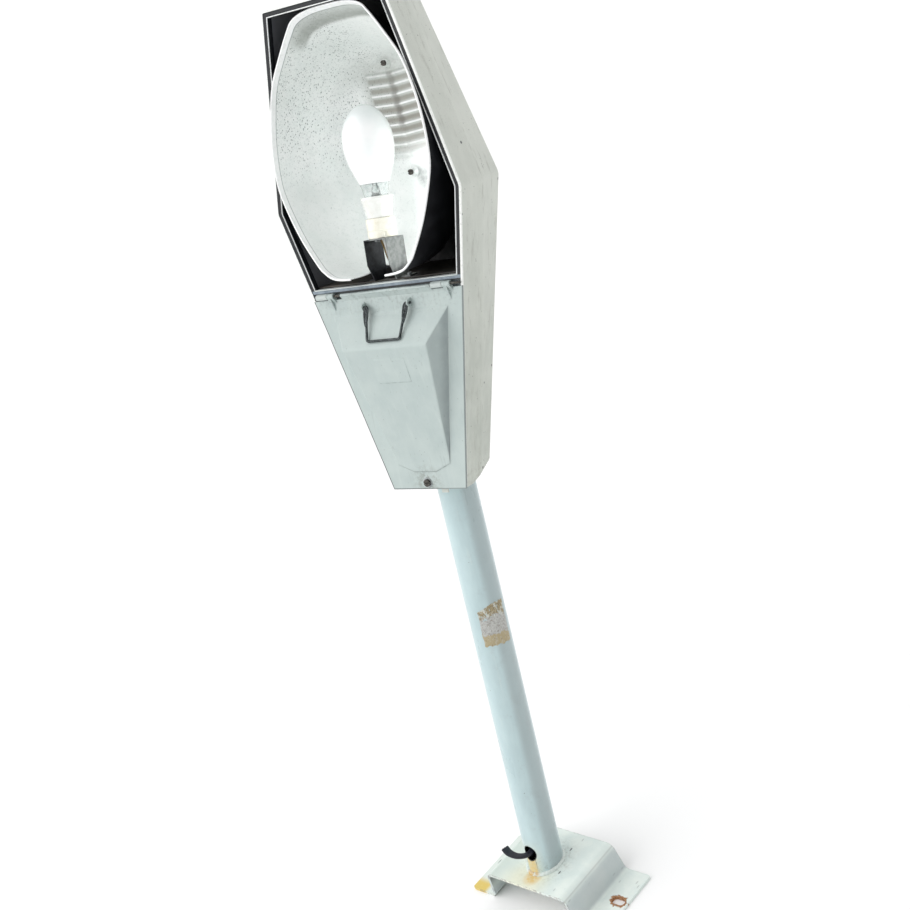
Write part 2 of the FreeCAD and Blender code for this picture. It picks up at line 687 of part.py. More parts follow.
def make_ballast_core():
    core = hbox(-64, -8, 58, TRAY_D, 178, 252)
    feet = [hbox(-56, -16, TRAY_D - 2, TRAY_D, w, w + 12) for w in (166, 252)]
    return fuse([core] + feet)


def make_ballast_winding(low):
    w0, w1 = (166, 178) if low else (252, 264)
    block = hbox(-54, -18, 66, 100, w0, w1)
    edges = [e for e in block.Edges if abs(abs(e.tangentAt(e.FirstParameter).z) - 1) < 1e-6]
    return block.makeFillet(6.0, edges)


def make_capacitor():
    can = cyl(CAN_R, hd(CAN_U, CAN_D, 176), hd(CAN_U, CAN_D, 262))
    can = can.makeFillet(2.0, [can.Edges[0], can.Edges[2]])
    pegs = [cyl(3.0, hd(CAN_U + x, CAN_D, 262), hd(CAN_U + x, CAN_D, 268)) for x in (-7, 7)]
    return fuse([can] + pegs)


def make_capacitor_clip():
    ring = cyl(CAN_R + 1.2, hd(CAN_U, CAN_D, 212), hd(CAN_U, CAN_D, 226))
    foot = hbox(CAN_U - 21, CAN_U + 21, 96, TRAY_D, 212, 226)
    return fuse([ring, foot]).cut(cyl(CAN_R, hd(CAN_U, CAN_D, 200), hd(CAN_U, CAN_D, 240)))


def make_terminals():
    block = hbox(-24, 24, 86, TRAY_D, 140, 158)
    for i in range(4):
        u = -18 + 12 * i
        block = block.cut(cyl_d(2.6, u, 149, 80, 92))
    return block


def make_terminal_screw(i):
    u = -18 + 12 * i
    screw = cyl_d(2.6, u, 149, 89.5, 92)
    return screw.cut(hbox(u - 3, u + 3, 89, 90.3, 148.6, 149.4))


def make_saddle(inner, spigot):
    block = hbox(-40, 40, 64, 170, 42, 88).common(inner)
    return block.cut(spigot)


def make_strap(spigot):
    block = hbox(-50, 50, 52, 60, 48, 82)
    hoop = moved(Part.makeCylinder(TUBE_R + 5, 34, V(0, 0, TUBE_FREE + 48)), TUBE_IN_HEAD)
    hoop = hoop.common(hbox(-60, 60, 0, 60, 48, 82))
    strap = fuse([block, hoop]).cut(spigot)
    for side in (-1, 1):
        strap = strap.cut(cyl_d(3.4, side * 43, 65, 40, 62))
    return strap


def make_strap_bolt(side):
    u = side * 43
    points = []
    for i in range(6):
        a = math.radians(60 * i)
        points.append(hd(u + 7.5 * math.cos(a), 46.6, 65 + 7.5 * math.sin(a)))
    head = face(points).extrude(V(0, 5.4, 0))
    return fuse([head, cyl_d(3.4, u, 65, 52, 84)])


def lamp_wire(index):
    """One lamp lead from the terminals to the back of the lampholder."""
    off = -5.4 + 3.6 * index
    low = -18 + 12 * index
    points = [hd(low, 96, 158.8), hd(low, 95, 162), hd(off * 1.3, 72, 170), hd(off * 1.1, 52, 196),
              hd(off, 46, 270), hd(off * 1.3, 42, 318), hd(off * 1.6, 32, 348),
              hd(off * 1.1, 26, 369), hd(off * 1.1, 24, 374.5)]
    return spline_rod(points, 1.3)


# ---------------------------------------------------------------- assembly
def build():
    outer = shell_solid(0.0)
    inner = shell_solid(WALL)
    bowl, fill = build_optics()
    spigot = moved(Part.makeCylinder(TUBE_R, 260, V(0, 0, TUBE_FREE - 60)), TUBE_IN_HEAD)
    pins = [cyl_u(PIN_R, -131, -85, HINGE_D, HINGE_W), cyl_u(PIN_R, 90, 141, HINGE_D, HINGE_W)]

    add("mounting_bracket", make_bracket())
    add("arm_tube", make_tube())
    add("weld_bead", make_weld())
    add("tube_label", make_label(), TUBE)
    add("supply_cable", make_supply_cable(), TUBE)

    add("housing_shell", make_housing(outer, inner, fill), HEAD)
    add("rim_gasket", make_gasket(inner), HEAD)
    add("crossbar", make_crossbar(inner, pins), HEAD)
    add("hinge_pin_left", pins[0], HEAD)
    add("hinge_pin_right", pins[1], HEAD)
    add("partition_plate", make_partition(inner), HEAD)
    add("clamp_saddle", make_saddle(inner, spigot).cut(
        fuse([cyl_d(3.4, s * 43, 65, 40, 84) for s in (-1, 1)])), HEAD)
    add("clamp_strap", make_strap(spigot), HEAD)
    add("clamp_bolt_left", make_strap_bolt(-1), HEAD)
    add("clamp_bolt_right", make_strap_bolt(1), HEAD)

    add("gear_cover", make_cover(), HEAD)
    add("cover_screw", make_cover_screw(), HEAD)
    add("cover_screw_washer", make_cover_washer(), HEAD)
    add("bail_latch", make_bail(), HEAD)

    add("reflector", bowl, HEAD)
    for (w, d), word in zip(SEATS, ("upper", "lower")):
        add("reflector_screw_" + word, reflector_screw(w, d), HEAD)

    add("lamp_envelope", make_envelope(), OPTIC)
    add("lamp_arc_tube", make_arc_tube(), OPTIC)
    add("lamp_cap", make_lamp_cap(), OPTIC)
    add("lampholder_skirt", make_skirt(), OPTIC)
    add("lampholder_base", make_holder_base(), OPTIC)
    add("lampholder_shell", make_holder_shell(), OPTIC)
    add("lampholder_contact", make_holder_contact(), OPTIC)
    add("lampholder_bracket", make_holder_bracket(), HEAD)
    for side, word in ((-1, "left"), (1, "right")):
        add("lampholder_screw_" + word, make_holder_screw(side), OPTIC)
        add("bracket_foot_screw_" + word, make_foot_screw(side), HEAD)

    add("gear_tray", make_tray(inner), HEAD)
    add("ballast_core", make_ballast_core(), HEAD)
    add("ballast_winding_lower", make_ballast_winding(True), HEAD)
    add("ballast_winding_upper", make_ballast_winding(False), HEAD)
    add("capacitor", make_capacitor(), HEAD)
    add("capacitor_clip", make_capacitor_clip(), HEAD)
    add("terminal_block", make_terminals(), HEAD)
    for i in range(4):
        add("terminal_screw_%d" % (i + 1), make_terminal_screw(i), HEAD)
        add("lamp_wire_%d" % (i + 1), lamp_wire(i), HEAD)


build()
os.makedirs("parts", exist_ok=True)
for name, shape in parts.items():
    shape.exportStep("parts/%s.step" % name)
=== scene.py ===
"""Street lamp head on a bracket arm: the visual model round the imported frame.

Shapes are written in millimetres in the frame of the piece they belong to (tube, head or optics)
and placed in the row frame. u runs across the head, depth backwards from its front face, w up it.
"""
import contextlib
import math

import bmesh
import bpy
from mathutils import Matrix, Vector, noise


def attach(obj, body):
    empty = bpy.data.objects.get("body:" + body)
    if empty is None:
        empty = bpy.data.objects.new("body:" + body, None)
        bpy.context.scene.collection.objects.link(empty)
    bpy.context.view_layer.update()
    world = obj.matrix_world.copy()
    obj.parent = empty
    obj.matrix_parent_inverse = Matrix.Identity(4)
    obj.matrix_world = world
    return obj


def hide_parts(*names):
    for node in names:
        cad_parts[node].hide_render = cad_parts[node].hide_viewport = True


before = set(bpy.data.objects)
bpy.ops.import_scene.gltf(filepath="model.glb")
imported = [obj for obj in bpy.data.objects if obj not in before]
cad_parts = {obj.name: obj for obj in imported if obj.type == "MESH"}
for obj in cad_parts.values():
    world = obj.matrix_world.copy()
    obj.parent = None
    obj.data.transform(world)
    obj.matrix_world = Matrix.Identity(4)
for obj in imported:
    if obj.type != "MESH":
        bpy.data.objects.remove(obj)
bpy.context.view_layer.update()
scene = bpy.context.scene
MM = 0.001                    # metres in a millimetre

# ---------------------------------------------------------------- dimensions
FACE = 62.7                   # front face to tube axis
PLATE_TOP = 56.0
TUBE_R = 30.15
TUBE_FOOT_Y = -5.7
TUBE_LEAN = 13.87
TUBE_FREE = 672.0
CABLE_HOLE_AT = 31.0
SLOT_X = 131.0
HEAD_YAW = 10.27
HEAD_TILT = 1.2
WALL = 3.0
COVER_SHEET = 2.0
REFLECTOR_SHEET = 1.2
SHOULDER_W = 436.0
TOP_W = 723.0
FOOT_HALF = 69.7              # half widths of the head at its foot, shoulder and top
SHOULDER_HALF = 175.0
TOP_HALF = 112.3
SIDE_SLOPE = (SHOULDER_HALF - FOOT_HALF) / SHOULDER_W
SECTIONS = ((0.0, ((FOOT_HALF, 0.0), (68.5, 38.0), (60.0, 73.0), (30.0, 104.0))),
            (SHOULDER_W, ((SHOULDER_HALF, 0.0), (172.0, 58.0), (158.0, 117.0), (112.0, 165.0))),
            (TOP_W, ((TOP_HALF, 0.0), (111.0, 42.0), (102.0, 81.0), (66.0, 120.0))))
OUTLINE = ((-FOOT_HALF, 0.0), (FOOT_HALF, 0.0), (SHOULDER_HALF, SHOULDER_W), (TOP_HALF, TOP_W),
           (-TOP_HALF, TOP_W), (-SHOULDER_HALF, SHOULDER_W))
FOOT_SLOPE_FROM = 20.0
FOOT_SLOPE = 0.357
CORNER = 4.0                  # rounding of the shell's folds, along each face
COVER_TOP_W = 299.0
BAR_TOP = 316.0
HINGE_W = 305.0
HINGE_D = -3.0
BAIL_W = 284.0
BAIL_D = -5.0
SCREW_W = 10.5
OPTIC_W = 512.0
OPTIC_D = 36.0
OPTIC_TILT = 5.7
RIM_Y = -47.8
CREASE_Y = -15.0              # where the end wall folds into the bowl
RIB_PITCH = 14.5
RIB_SLANT = 2.5               # rise of a rib from the centre line to its end
RIB_REACH = 46.0
RIB_CREST = 96.0
SLOT_HALF = 32.0              # the cut-out for the lampholder: half width, depth and upper end
SLOT_BACK = 32.0
SLOT_TOP = -110.0
BOWL_MID = 5.0
BOWL_BACK = 84.0
RIM = ((0.0, 193.0), (35.0, 191.5), (62.0, 184.0), (76.0, 170.0), (96.0, 142.0), (120.0, 103.0),
       (132.5, 63.0), (140.6, 20.0), (143.0, -26.0), (137.5, -60.0), (116.0, -115.0),
       (92.0, -157.0), (80.0, -172.0), (62.0, -183.0), (30.0, -186.0), (0.0, -186.5))
SEATS = ((618.0, 114.8), (457.0, 122.6))
WEDGE_HIGH = 31.7             # the cover's raised wedge: height, and where it ends and peaks
WEDGE_FOOT_W = 40.0
WEDGE_RIDGE_W = 227.7
WEDGE_TOP_W = 273.2


def plane_through(a, b, c):
    """h = p*u + q*w + r through three (u, w, h) points."""
    (u0, w0, h0), (u1, w1, h1), (u2, w2, h2) = a, b, c
    det = (u1 - u0) * (w2 - w0) - (u2 - u0) * (w1 - w0)
    p = ((h1 - h0) * (w2 - w0) - (h2 - h0) * (w1 - w0)) / det
    q = ((u1 - u0) * (h2 - h0) - (u2 - u0) * (h1 - h0)) / det
    return p, q, h0 - p * u0 - q * w0


SIDE_PLANE = plane_through((109.0, WEDGE_TOP_W, 0.0), (79.8, WEDGE_RIDGE_W, WEDGE_HIGH),
                           (50.0, WEDGE_FOOT_W, 0.0))
PANEL = ((-109.0, WEDGE_TOP_W), (-50.0, WEDGE_FOOT_W), (-21.0, 28.0), (21.0, 28.0),
         (50.0, WEDGE_FOOT_W), (109.0, WEDGE_TOP_W))


# ---------------------------------------------------------------- frames
def shift(x, y, z):
    return Matrix.Translation(Vector((x, y, z)) * MM)


def turn(degrees, axis):
    return Matrix.Rotation(math.radians(degrees), 4, axis)


ROW = Matrix()
TUBE = shift(0, TUBE_FOOT_Y, PLATE_TOP) @ turn(-TUBE_LEAN, "X")
HEAD = TUBE @ shift(0, 0, TUBE_FREE) @ turn(HEAD_YAW, "Z") @ turn(-HEAD_TILT, "X")
OPTIC = HEAD @ shift(0, OPTIC_D - FACE, OPTIC_W) @ turn(-OPTIC_TILT, "X")


def hd(u, depth, w):
    return Vector((u, depth - FACE, w))


# ---------------------------------------------------------------- materials
def rgb(text):
    """Linear colour from six sRGB hex digits."""
    out = []
    for i in (0, 2, 4):
        c = int(text[i:i + 2], 16) / 255.0
        out.append(c / 12.92 if c <= 0.04045 else ((c + 0.055) / 1.055) ** 2.4)
    return (*out, 1.0)


def smooth_range(tree, low, high, start, end):
    """A node that goes smoothly from start, at low, to end, at high."""
    node = tree.nodes.new("ShaderNodeMapRange")
    node.interpolation_type = "SMOOTHSTEP"
    for key, number in zip(("From Min", "From Max", "To Min", "To Max"), (low, high, start, end)):
        node.inputs[key].default_value = number
    return node


class Value:
    """A number or colour that varies over a surface. Arithmetic on it makes Math nodes."""

    def __init__(self, finish, socket):
        self.finish = finish
        self.socket = socket

    def __add__(self, other):
        return self.finish.calc("ADD", self, other)

    def __sub__(self, other):
        return self.finish.calc("SUBTRACT", self, other)

    def __rsub__(self, other):
        return self.finish.calc("SUBTRACT", other, self)

    def __mul__(self, other):
        return self.finish.calc("MULTIPLY", self, other)

    def __pow__(self, other):
        return self.finish.calc("POWER", self, other)

    def __abs__(self):
        return self.finish.calc("ABSOLUTE", self)

    def up(self, low, high, start=0.0, end=1.0):
        """Smoothly from start, at low, to end, at high."""
        node = smooth_range(self.finish.tree, low, high, start, end)
        self.finish.feed(node.inputs["Value"], self)
        return Value(self.finish, node.outputs[0])

    def down(self, low, high):
        """1 at low, falling smoothly to 0 at high."""
        return self.up(low, high, 1.0, 0.0)


class Finish:
    """A Principled material built from nodes. Textures are in millimetres in the given frame.

    paint is the colour so far, which tint lays other colours over.
    """

    def __init__(self, name, place=None, **values):
        self.mat = bpy.data.materials.new(name)
        self.mat.use_nodes = True
        self.tree = self.mat.node_tree
        self.tree.nodes.clear()
        self.bsdf = self.add("BsdfPrincipled")
        self.join(self.bsdf.outputs[0], self.add("OutputMaterial").inputs[0])
        for key, value in values.items():
            self.bsdf.inputs[key.replace("_", " ")].default_value = value
        mapping = self.add("Mapping")
        local = (place or Matrix()).inverted()
        mapping.inputs["Scale"].default_value = (1.0 / MM, 1.0 / MM, 1.0 / MM)
        mapping.inputs["Rotation"].default_value = local.to_euler()
        mapping.inputs["Location"].default_value = local.translation / MM
        self.join(self.add("TexCoord").outputs["Object"], mapping.inputs["Vector"])
        self.mm = Value(self, mapping.outputs[0])
        split = self.add("SeparateXYZ")
        self.feed(split.inputs[0], self.mm)
        self.x, self.y, self.z = (Value(self, socket) for socket in split.outputs)
        self.paint = None

    def add(self, kind, **settings):
        node = self.tree.nodes.new("ShaderNode" + kind)
        for key, setting in settings.items():
            setattr(node, key, setting)
        return node

    def join(self, a, b):
        self.tree.links.new(a, b)

    def feed(self, socket, value):
        if isinstance(value, Value):
            self.join(value.socket, socket)
        else:
            socket.default_value = rgb(value) if isinstance(value, str) else value

    def texture(self, kind, size, stretch):
        """A texture whose features have the given size, drawn out along the axes by stretch."""
        node = self.add(kind)
        place = self.mm
        if stretch:
            scaled = self.add("VectorMath", operation="MULTIPLY")
            self.feed(scaled.inputs[0], self.mm)
            scaled.inputs[1].default_value = [1.0 / s for s in stretch]
            place = Value(self, scaled.outputs[0])
        self.feed(node.inputs["Vector"], place)
        node.inputs["Scale"].default_value = 1.0 / size
        return node

    def noise(self, size, detail=3.0, rough=0.55, stretch=None):
        node = self.texture("TexNoise", size, stretch)
        node.inputs["Detail"].default_value = detail
        node.inputs["Roughness"].default_value = rough
        return Value(self, node.outputs[0])

    def pits(self, size, keep, radius, soft, stretch=None):
        """Scattered spots: 1 inside a spot. keep is the share of cells that have one."""
        node = self.texture("TexVoronoi", size, stretch)
        split = self.add("SeparateColor")
        self.join(node.outputs["Color"], split.inputs[0])
        spot = Value(self, node.outputs["Distance"]).down(radius, radius + soft)
        return spot * Value(self, split.outputs[0]).down(keep, keep + 0.01)

    def near(self, x, y, z, radius, soft):
        """1 within the radius of a point, falling to 0 over the soft distance."""
        node = self.add("VectorMath", operation="DISTANCE")
        self.feed(node.inputs[0], self.mm)
        node.inputs[1].default_value = (x, y, z)
        return Value(self, node.outputs["Value"]).down(radius, radius + soft)

    def calc(self, operation, a, b=0.0):
        node = self.add("Math", operation=operation)
        self.feed(node.inputs[0], a)
        self.feed(node.inputs[1], b)
        return Value(self, node.outputs[0])

    def larger(self, a, b):
        return self.calc("MAXIMUM", a, b)

    def mix(self, amount, a, b):
        node = self.add("Mix", data_type="RGBA")
        for index, value in ((0, amount), (6, a), (7, b)):
            self.feed(node.inputs[index], value)
        return Value(self, node.outputs[2])

    def tint(self, colour, amount):
        self.paint = self.mix(amount, self.paint, colour)

    def done(self, rough, *bumps):
        """Join up the paint, the roughness and each bump's (height, depth in mm, strength)."""
        self.feed(self.bsdf.inputs["Base Color"], self.paint)
        self.feed(self.bsdf.inputs["Roughness"], rough)
        normal = None
        for height, depth, strength in bumps:
            node = self.add("Bump")
            node.inputs["Strength"].default_value = strength
            node.inputs["Distance"].default_value = depth * MM
            self.feed(node.inputs["Height"], height)
            if normal:
                self.feed(node.inputs["Normal"], normal)
            normal = Value(self, node.outputs[0])
        if normal:
            self.feed(self.bsdf.inputs["Normal"], normal)
        return self.mat


def shell_paint():
    """Weathered grey enamel: streaks and mottles down the shell, dark pits, painted light that grows
    towards the top, and a pale front edge, partly wear and partly painted highlight.
    """
    f = Finish("shell_paint", HEAD, Coat_Weight=0.15, Coat_Roughness=0.35)
    streak = f.noise(14, 5, 0.65, (1, 1, 14))
    fine = f.noise(1.6, 5, 0.7)
    f.paint = f.mix(f.noise(60, 4, 0.6).up(0.3, 0.7), "aeb4ab", "bdc2b9")
    # painted light: the shell grows paler towards the top, as if lit from above
    f.tint("d6d9d2", f.z.up(40, 520, 0, 0.45))
    f.tint("cfd3cb", streak.up(0.45, 0.75, 0, 0.5))
    f.tint("999b92", f.noise(10, 6, 0.7, (1, 1, 22)).up(0.54, 0.68, 0, 0.5))
    specks = fine.up(0.58, 0.68) * f.noise(22, 3).up(0.40, 0.60)
    f.tint("858a86", specks * f.z.up(240, 520, 0.35, 1) * 0.8)
    f.tint("5f6460", f.pits(9, 0.40, 0.07, 0.05) * 0.8)
    f.tint("33373a", f.pits(31, 0.35, 0.055, 0.03) * 0.9)
    # pale front edge: partly wear, partly a painted highlight along the fold
    f.tint("f4f6f3", f.y.down(-61.4, -59) * f.noise(4, 4, 0.7).up(0.3, 0.5, 0.45, 0.95))
    f.tint("8f8e81", f.z.down(8, 60) * f.noise(12, 5, 0.7).up(0.45, 0.7) * 0.4)
    return f.done(streak.up(0.3, 0.8, 0.42, 0.62), (fine, 0.10, 0.5), (f.noise(45, 2), 1, 0.35))


def shell_inside():
    """The dark inside of the shell, dusty, with painted light making it greyer on the left."""
    f = Finish("shell_inside", HEAD)
    dust = f.noise(18, 6, 0.7)
    f.paint = f.mix(dust.up(0.42, 0.72), "131418", "26282c")
    f.tint("3e4042", f.pits(5, 0.3, 0.10, 0.1) * 0.6)
    # painted light: the left side of the inside is lit greyer
    f.tint("8d9096", f.x.up(-40, -90) * 0.85)
    return f.done(dust.up(0.3, 0.7, 0.45, 0.8), (f.noise(1.2, 4), 0.1, 0.5))


def channel_paint():
    """The folded lip: pale on its front edge, partly wear and partly painted highlight, near black
    behind it.
    """
    f = Finish("channel_paint", HEAD)
    grime = f.noise(6, 5, 0.7)
    dark = f.mix(grime.up(0.4, 0.7), "17191d", "2c2f33")
    # the front edge: partly wear, partly a painted highlight
    worn_highlight = f.mix(grime.up(0.5, 0.72), "eff2f1", "b4babb")
    f.paint = f.mix(f.y.down(1 - FACE, 1.5 - FACE), dark, worn_highlight)
    return f.done(0.45, (grime, 0.1, 0.5))


def cover_paint():
    """The gear cover's enamel: smooth and blue-grey, brushed down. Painted shade darkens its side
    facets, creases and pressed lines and draws a thin dark outline at the gap round its edge.
    """
    f = Finish("cover_paint", HEAD, Coat_Weight=0.25, Coat_Roughness=0.22)
    cloud = f.noise(45, 4, 0.6)
    f.paint = f.mix(cloud.up(0.3, 0.7), "adbab8", "b6c2bf")
    f.tint("c1ccc8", f.noise(5, 5, 0.6, (1, 1, 30)).up(0.5, 0.8, 0, 0.35))
    f.tint("7a8380", f.pits(8, 0.22, 0.07, 0.06) * 0.55)
    p, q, r = SIDE_PLANE
    side = f.x * p + f.z * q + r
    front = (f.z - WEDGE_FOOT_W) * (WEDGE_HIGH / (WEDGE_RIDGE_W - WEDGE_FOOT_W))
    roof = (WEDGE_TOP_W - f.z) * (WEDGE_HIGH / (WEDGE_TOP_W - WEDGE_RIDGE_W))
    over = f.calc("MINIMUM", front, roof) - side
    # painted shade: the wedge's side facets darken, most near the crease
    facet = over.up(-0.3, 0.9) * side.up(-0.2, 0.5)
    shadow = side.up(0, 17, 1, 0.42) * f.noise(16, 3).up(0.3, 0.7, 0.6, 0.76)
    f.tint("7b8688", facet * shadow)
    # painted shade along the crease between facet and wedge
    crease = abs(side).down(0.1, 1.1) * over.up(0, 0.8) * f.z.up(60, 120, 1, 0.35)
    f.tint("4f5756", crease * 0.7)
    f.tint("8b9390", f.z.up(255, 300) * f.noise(7, 5, 0.7).up(0.48, 0.66) * 0.5)
    foot = f.near(0, -FACE, SCREW_W, 11, 26)
    f.tint("7d7f76", foot * f.noise(6, 5, 0.7).up(0.4, 0.65) * 0.6)
    f.tint("98a19e", f.noise(2.2, 2, 0.5, (1, 1, 40)).up(0.68, 0.72) * 0.35)
    plaque = f.larger(abs(f.x - 1) - 30, abs(f.z - 190.5) - 18.5)
    # painted shade along the plaque's right and lower edges
    shaded_sides = f.larger(f.x.up(27, 29), f.z.down(174, 176))
    line = abs(plaque).down(0.35, 0.9) * shaded_sides
    f.tint("8d9997", line * f.noise(12, 3).up(0.4, 0.6, 0.25, 0.8))
    across = abs(f.x)
    chevron = f.z - 27.6 - f.larger(across - 21, 0) * (12 / 29)
    fold = abs(chevron).down(0.3, 1.1) * across.down(48, 51)
    # painted shade along the pressed chevron fold
    f.tint("76817f", fold * f.noise(14, 3).up(0.35, 0.6, 0.2, 0.75))
    # painted shade: a thin dark outline at the gap round the cover's edge, darker on the left
    reach = across - (f.z * SIDE_SLOPE + (FOOT_HALF - 0.2))
    rim = f.larger(reach.up(-1.9, -1.2), f.z.down(1, 1.7))
    f.tint("454b4c", rim * f.x.up(-20, 20, 0.95, 0.6))
    return f.done(cloud.up(0.3, 0.7, 0.34, 0.5), (f.noise(1.1, 4), 0.06, 0.5),
                  (f.noise(38, 2), 0.8, 0.3))


def tube_paint():
    """Gloss pale blue-white paint with scuffs, rust bleeding from the hole and grime at the foot;
    painted shade down the right side, in the cable hole and inside the bore.
    """
    f = Finish("tube_paint", TUBE, Coat_Weight=0.35, Coat_Roughness=0.18)
    cloud = f.noise(50, 4, 0.6, (1, 1, 3))
    f.paint = f.mix(cloud.up(0.3, 0.7), "b2c7ca", "bfd4d6")
    f.tint("cddbd8", f.noise(9, 5, 0.7, (1, 1, 9)).up(0.55, 0.75, 0, 0.35))
    # painted shade, in patches, over the right side
    f.tint("9fabad", f.noise(24, 4, 0.7).up(0.52, 0.66) * f.x.up(4, 24) * 0.2)
    f.tint("7d8583", f.pits(16, 0.3, 0.05, 0.03) * 0.7)
    f.tint("a5804f", f.pits(11, 0.4, 0.10, 0.08) * f.x.down(-27, -20) * 0.7)
    f.tint("8d9694", f.noise(3, 4, 0.7).up(0.66, 0.69) * f.z.up(60, 420, 1, 0.15) * 0.5)
    f.tint("8f948f", f.z.down(0, 40) * f.noise(5, 5, 0.7).up(0.48, 0.62) * 0.45)
    front = f.y.down(-24, -16)
    bleed = f.z.down(26, 38) * f.noise(6, 3).up(0.3, 0.6, 0.55, 1) * front
    f.tint("d2ae5c", bleed * abs(f.x).down(6, 13))
    f.tint("e2dcae", f.z.down(20, 60) * front * abs(f.x).up(8, 24, 0.35, 0))
    # painted shade along the right edge of the tube
    f.tint("98a3a4", f.x.up(23, 29.5) * 0.6)
    # painted shade: the cut edge of the cable hole is near black
    f.tint("1a1716", f.near(0, -TUBE_R, CABLE_HOLE_AT, 13.4, 0.9) * 0.96)
    # painted shade: the inside of the bore is near black
    bore = ((f.x * f.x + f.y * f.y) ** 0.5).down(28.6, 29.4)
    f.tint("121316", bore)
    return f.done(cloud.up(0.3, 0.7, 0.26, 0.42), (f.noise(1.6, 4), 0.08, 0.4),
                  (f.noise(30, 2), 0.8, 0.25))


def bracket_paint():
    """Paler paint on the bracket: dark specks, chipped edges worn to the steel, rust round the
    slots; painted shade on the webs and inside the channel, painted light on the left flange.
    """
    f = Finish("bracket_paint", Coat_Weight=0.3, Coat_Roughness=0.2)
    cloud = f.noise(40, 4, 0.6)
    grime = f.noise(7, 6, 0.7)
    f.paint = f.mix(cloud.up(0.3, 0.7), "d6e2de", "e6eee8")
    foot = f.near(0, TUBE_FOOT_Y, PLATE_TOP, 34, 34)
    f.tint("a9aca4", foot * grime.up(0.46, 0.62) * 0.4)
    f.tint("5f6462", f.pits(8, 0.36, 0.13, 0.08, (1, 2.6, 1)) * foot.up(0, 0.6, 0.3, 1))
    f.tint("bccac0", f.x.up(-24, -78) * 0.65)
    f.tint("e7e3bd", f.near(-8, -52, PLATE_TOP, 16, 46) * 0.5)
    stain = f.near(2, -44, PLATE_TOP, 6, 15)
    f.tint("dcbd74", stain * f.noise(5, 4).up(0.3, 0.6, 0.5, 0.95))
    across = abs(f.x)
    beside = f.larger(abs(across - SLOT_X) - 6.5, 0)
    reach = (beside * beside + f.y * f.y) ** 0.5
    rust = (reach + grime.up(0.2, 0.8, -4.5, 4.5)).down(9.6, 11.4) * f.x.up(-10, 10)
    f.tint(f.mix(f.noise(2.5, 4).up(0.4, 0.6), "7c4f30", "b48458"), rust)
    # painted light: the left flange is lit paler
    f.tint("f4f7f4", f.x.up(-96, -100) * 0.35)
    f.tint("d9bf60", f.x.up(-112, -124) * f.y.up(-36, -52) * f.noise(9, 5, 0.7).up(0.18, 0.36))
    f.tint("6a5f57", abs(f.y).up(63.9, 64.8) * f.noise(9, 3, 0.6).up(0.44, 0.60) * 0.5)
    f.tint("66625c", abs(f.y).up(60.5, 64) * f.noise(6, 4, 0.7).up(0.62, 0.68) * 0.45)
    # painted shade on the webs
    web = across.up(88, 92) * across.down(99, 104) * f.z.down(47, 53) * f.z.up(5, 10)
    f.tint("a3adb2", web * 0.55)
    # painted shade inside the channel, under the plate
    f.tint("777b7a", across.down(86, 90) * f.z.down(50, 52.5) * 0.8)
    rough = f.larger(cloud.up(0.3, 0.7, 0.28, 0.45), rust * 0.85)
    return f.done(rough, (f.noise(1.4, 5, 0.7), 0.12, 0.5), (f.noise(26, 2), 0.8, 0.25))


def weld_paint():
    """The painted weld, with a rust stain at the front."""
    f = Finish("weld_paint", Coat_Weight=0.2, Coat_Roughness=0.3)
    grime = f.noise(4, 6, 0.7)
    f.paint = f.mix(grime.up(0.44, 0.68), "d8e2de", "c3cbc5")
    front = f.y.down(-40, -28) * f.noise(6, 4).up(0.3, 0.55) * abs(f.x).down(7, 16)
    f.tint("cfa655", front * 0.95)
    return f.done(0.42, (grime, 0.08, 0.4))


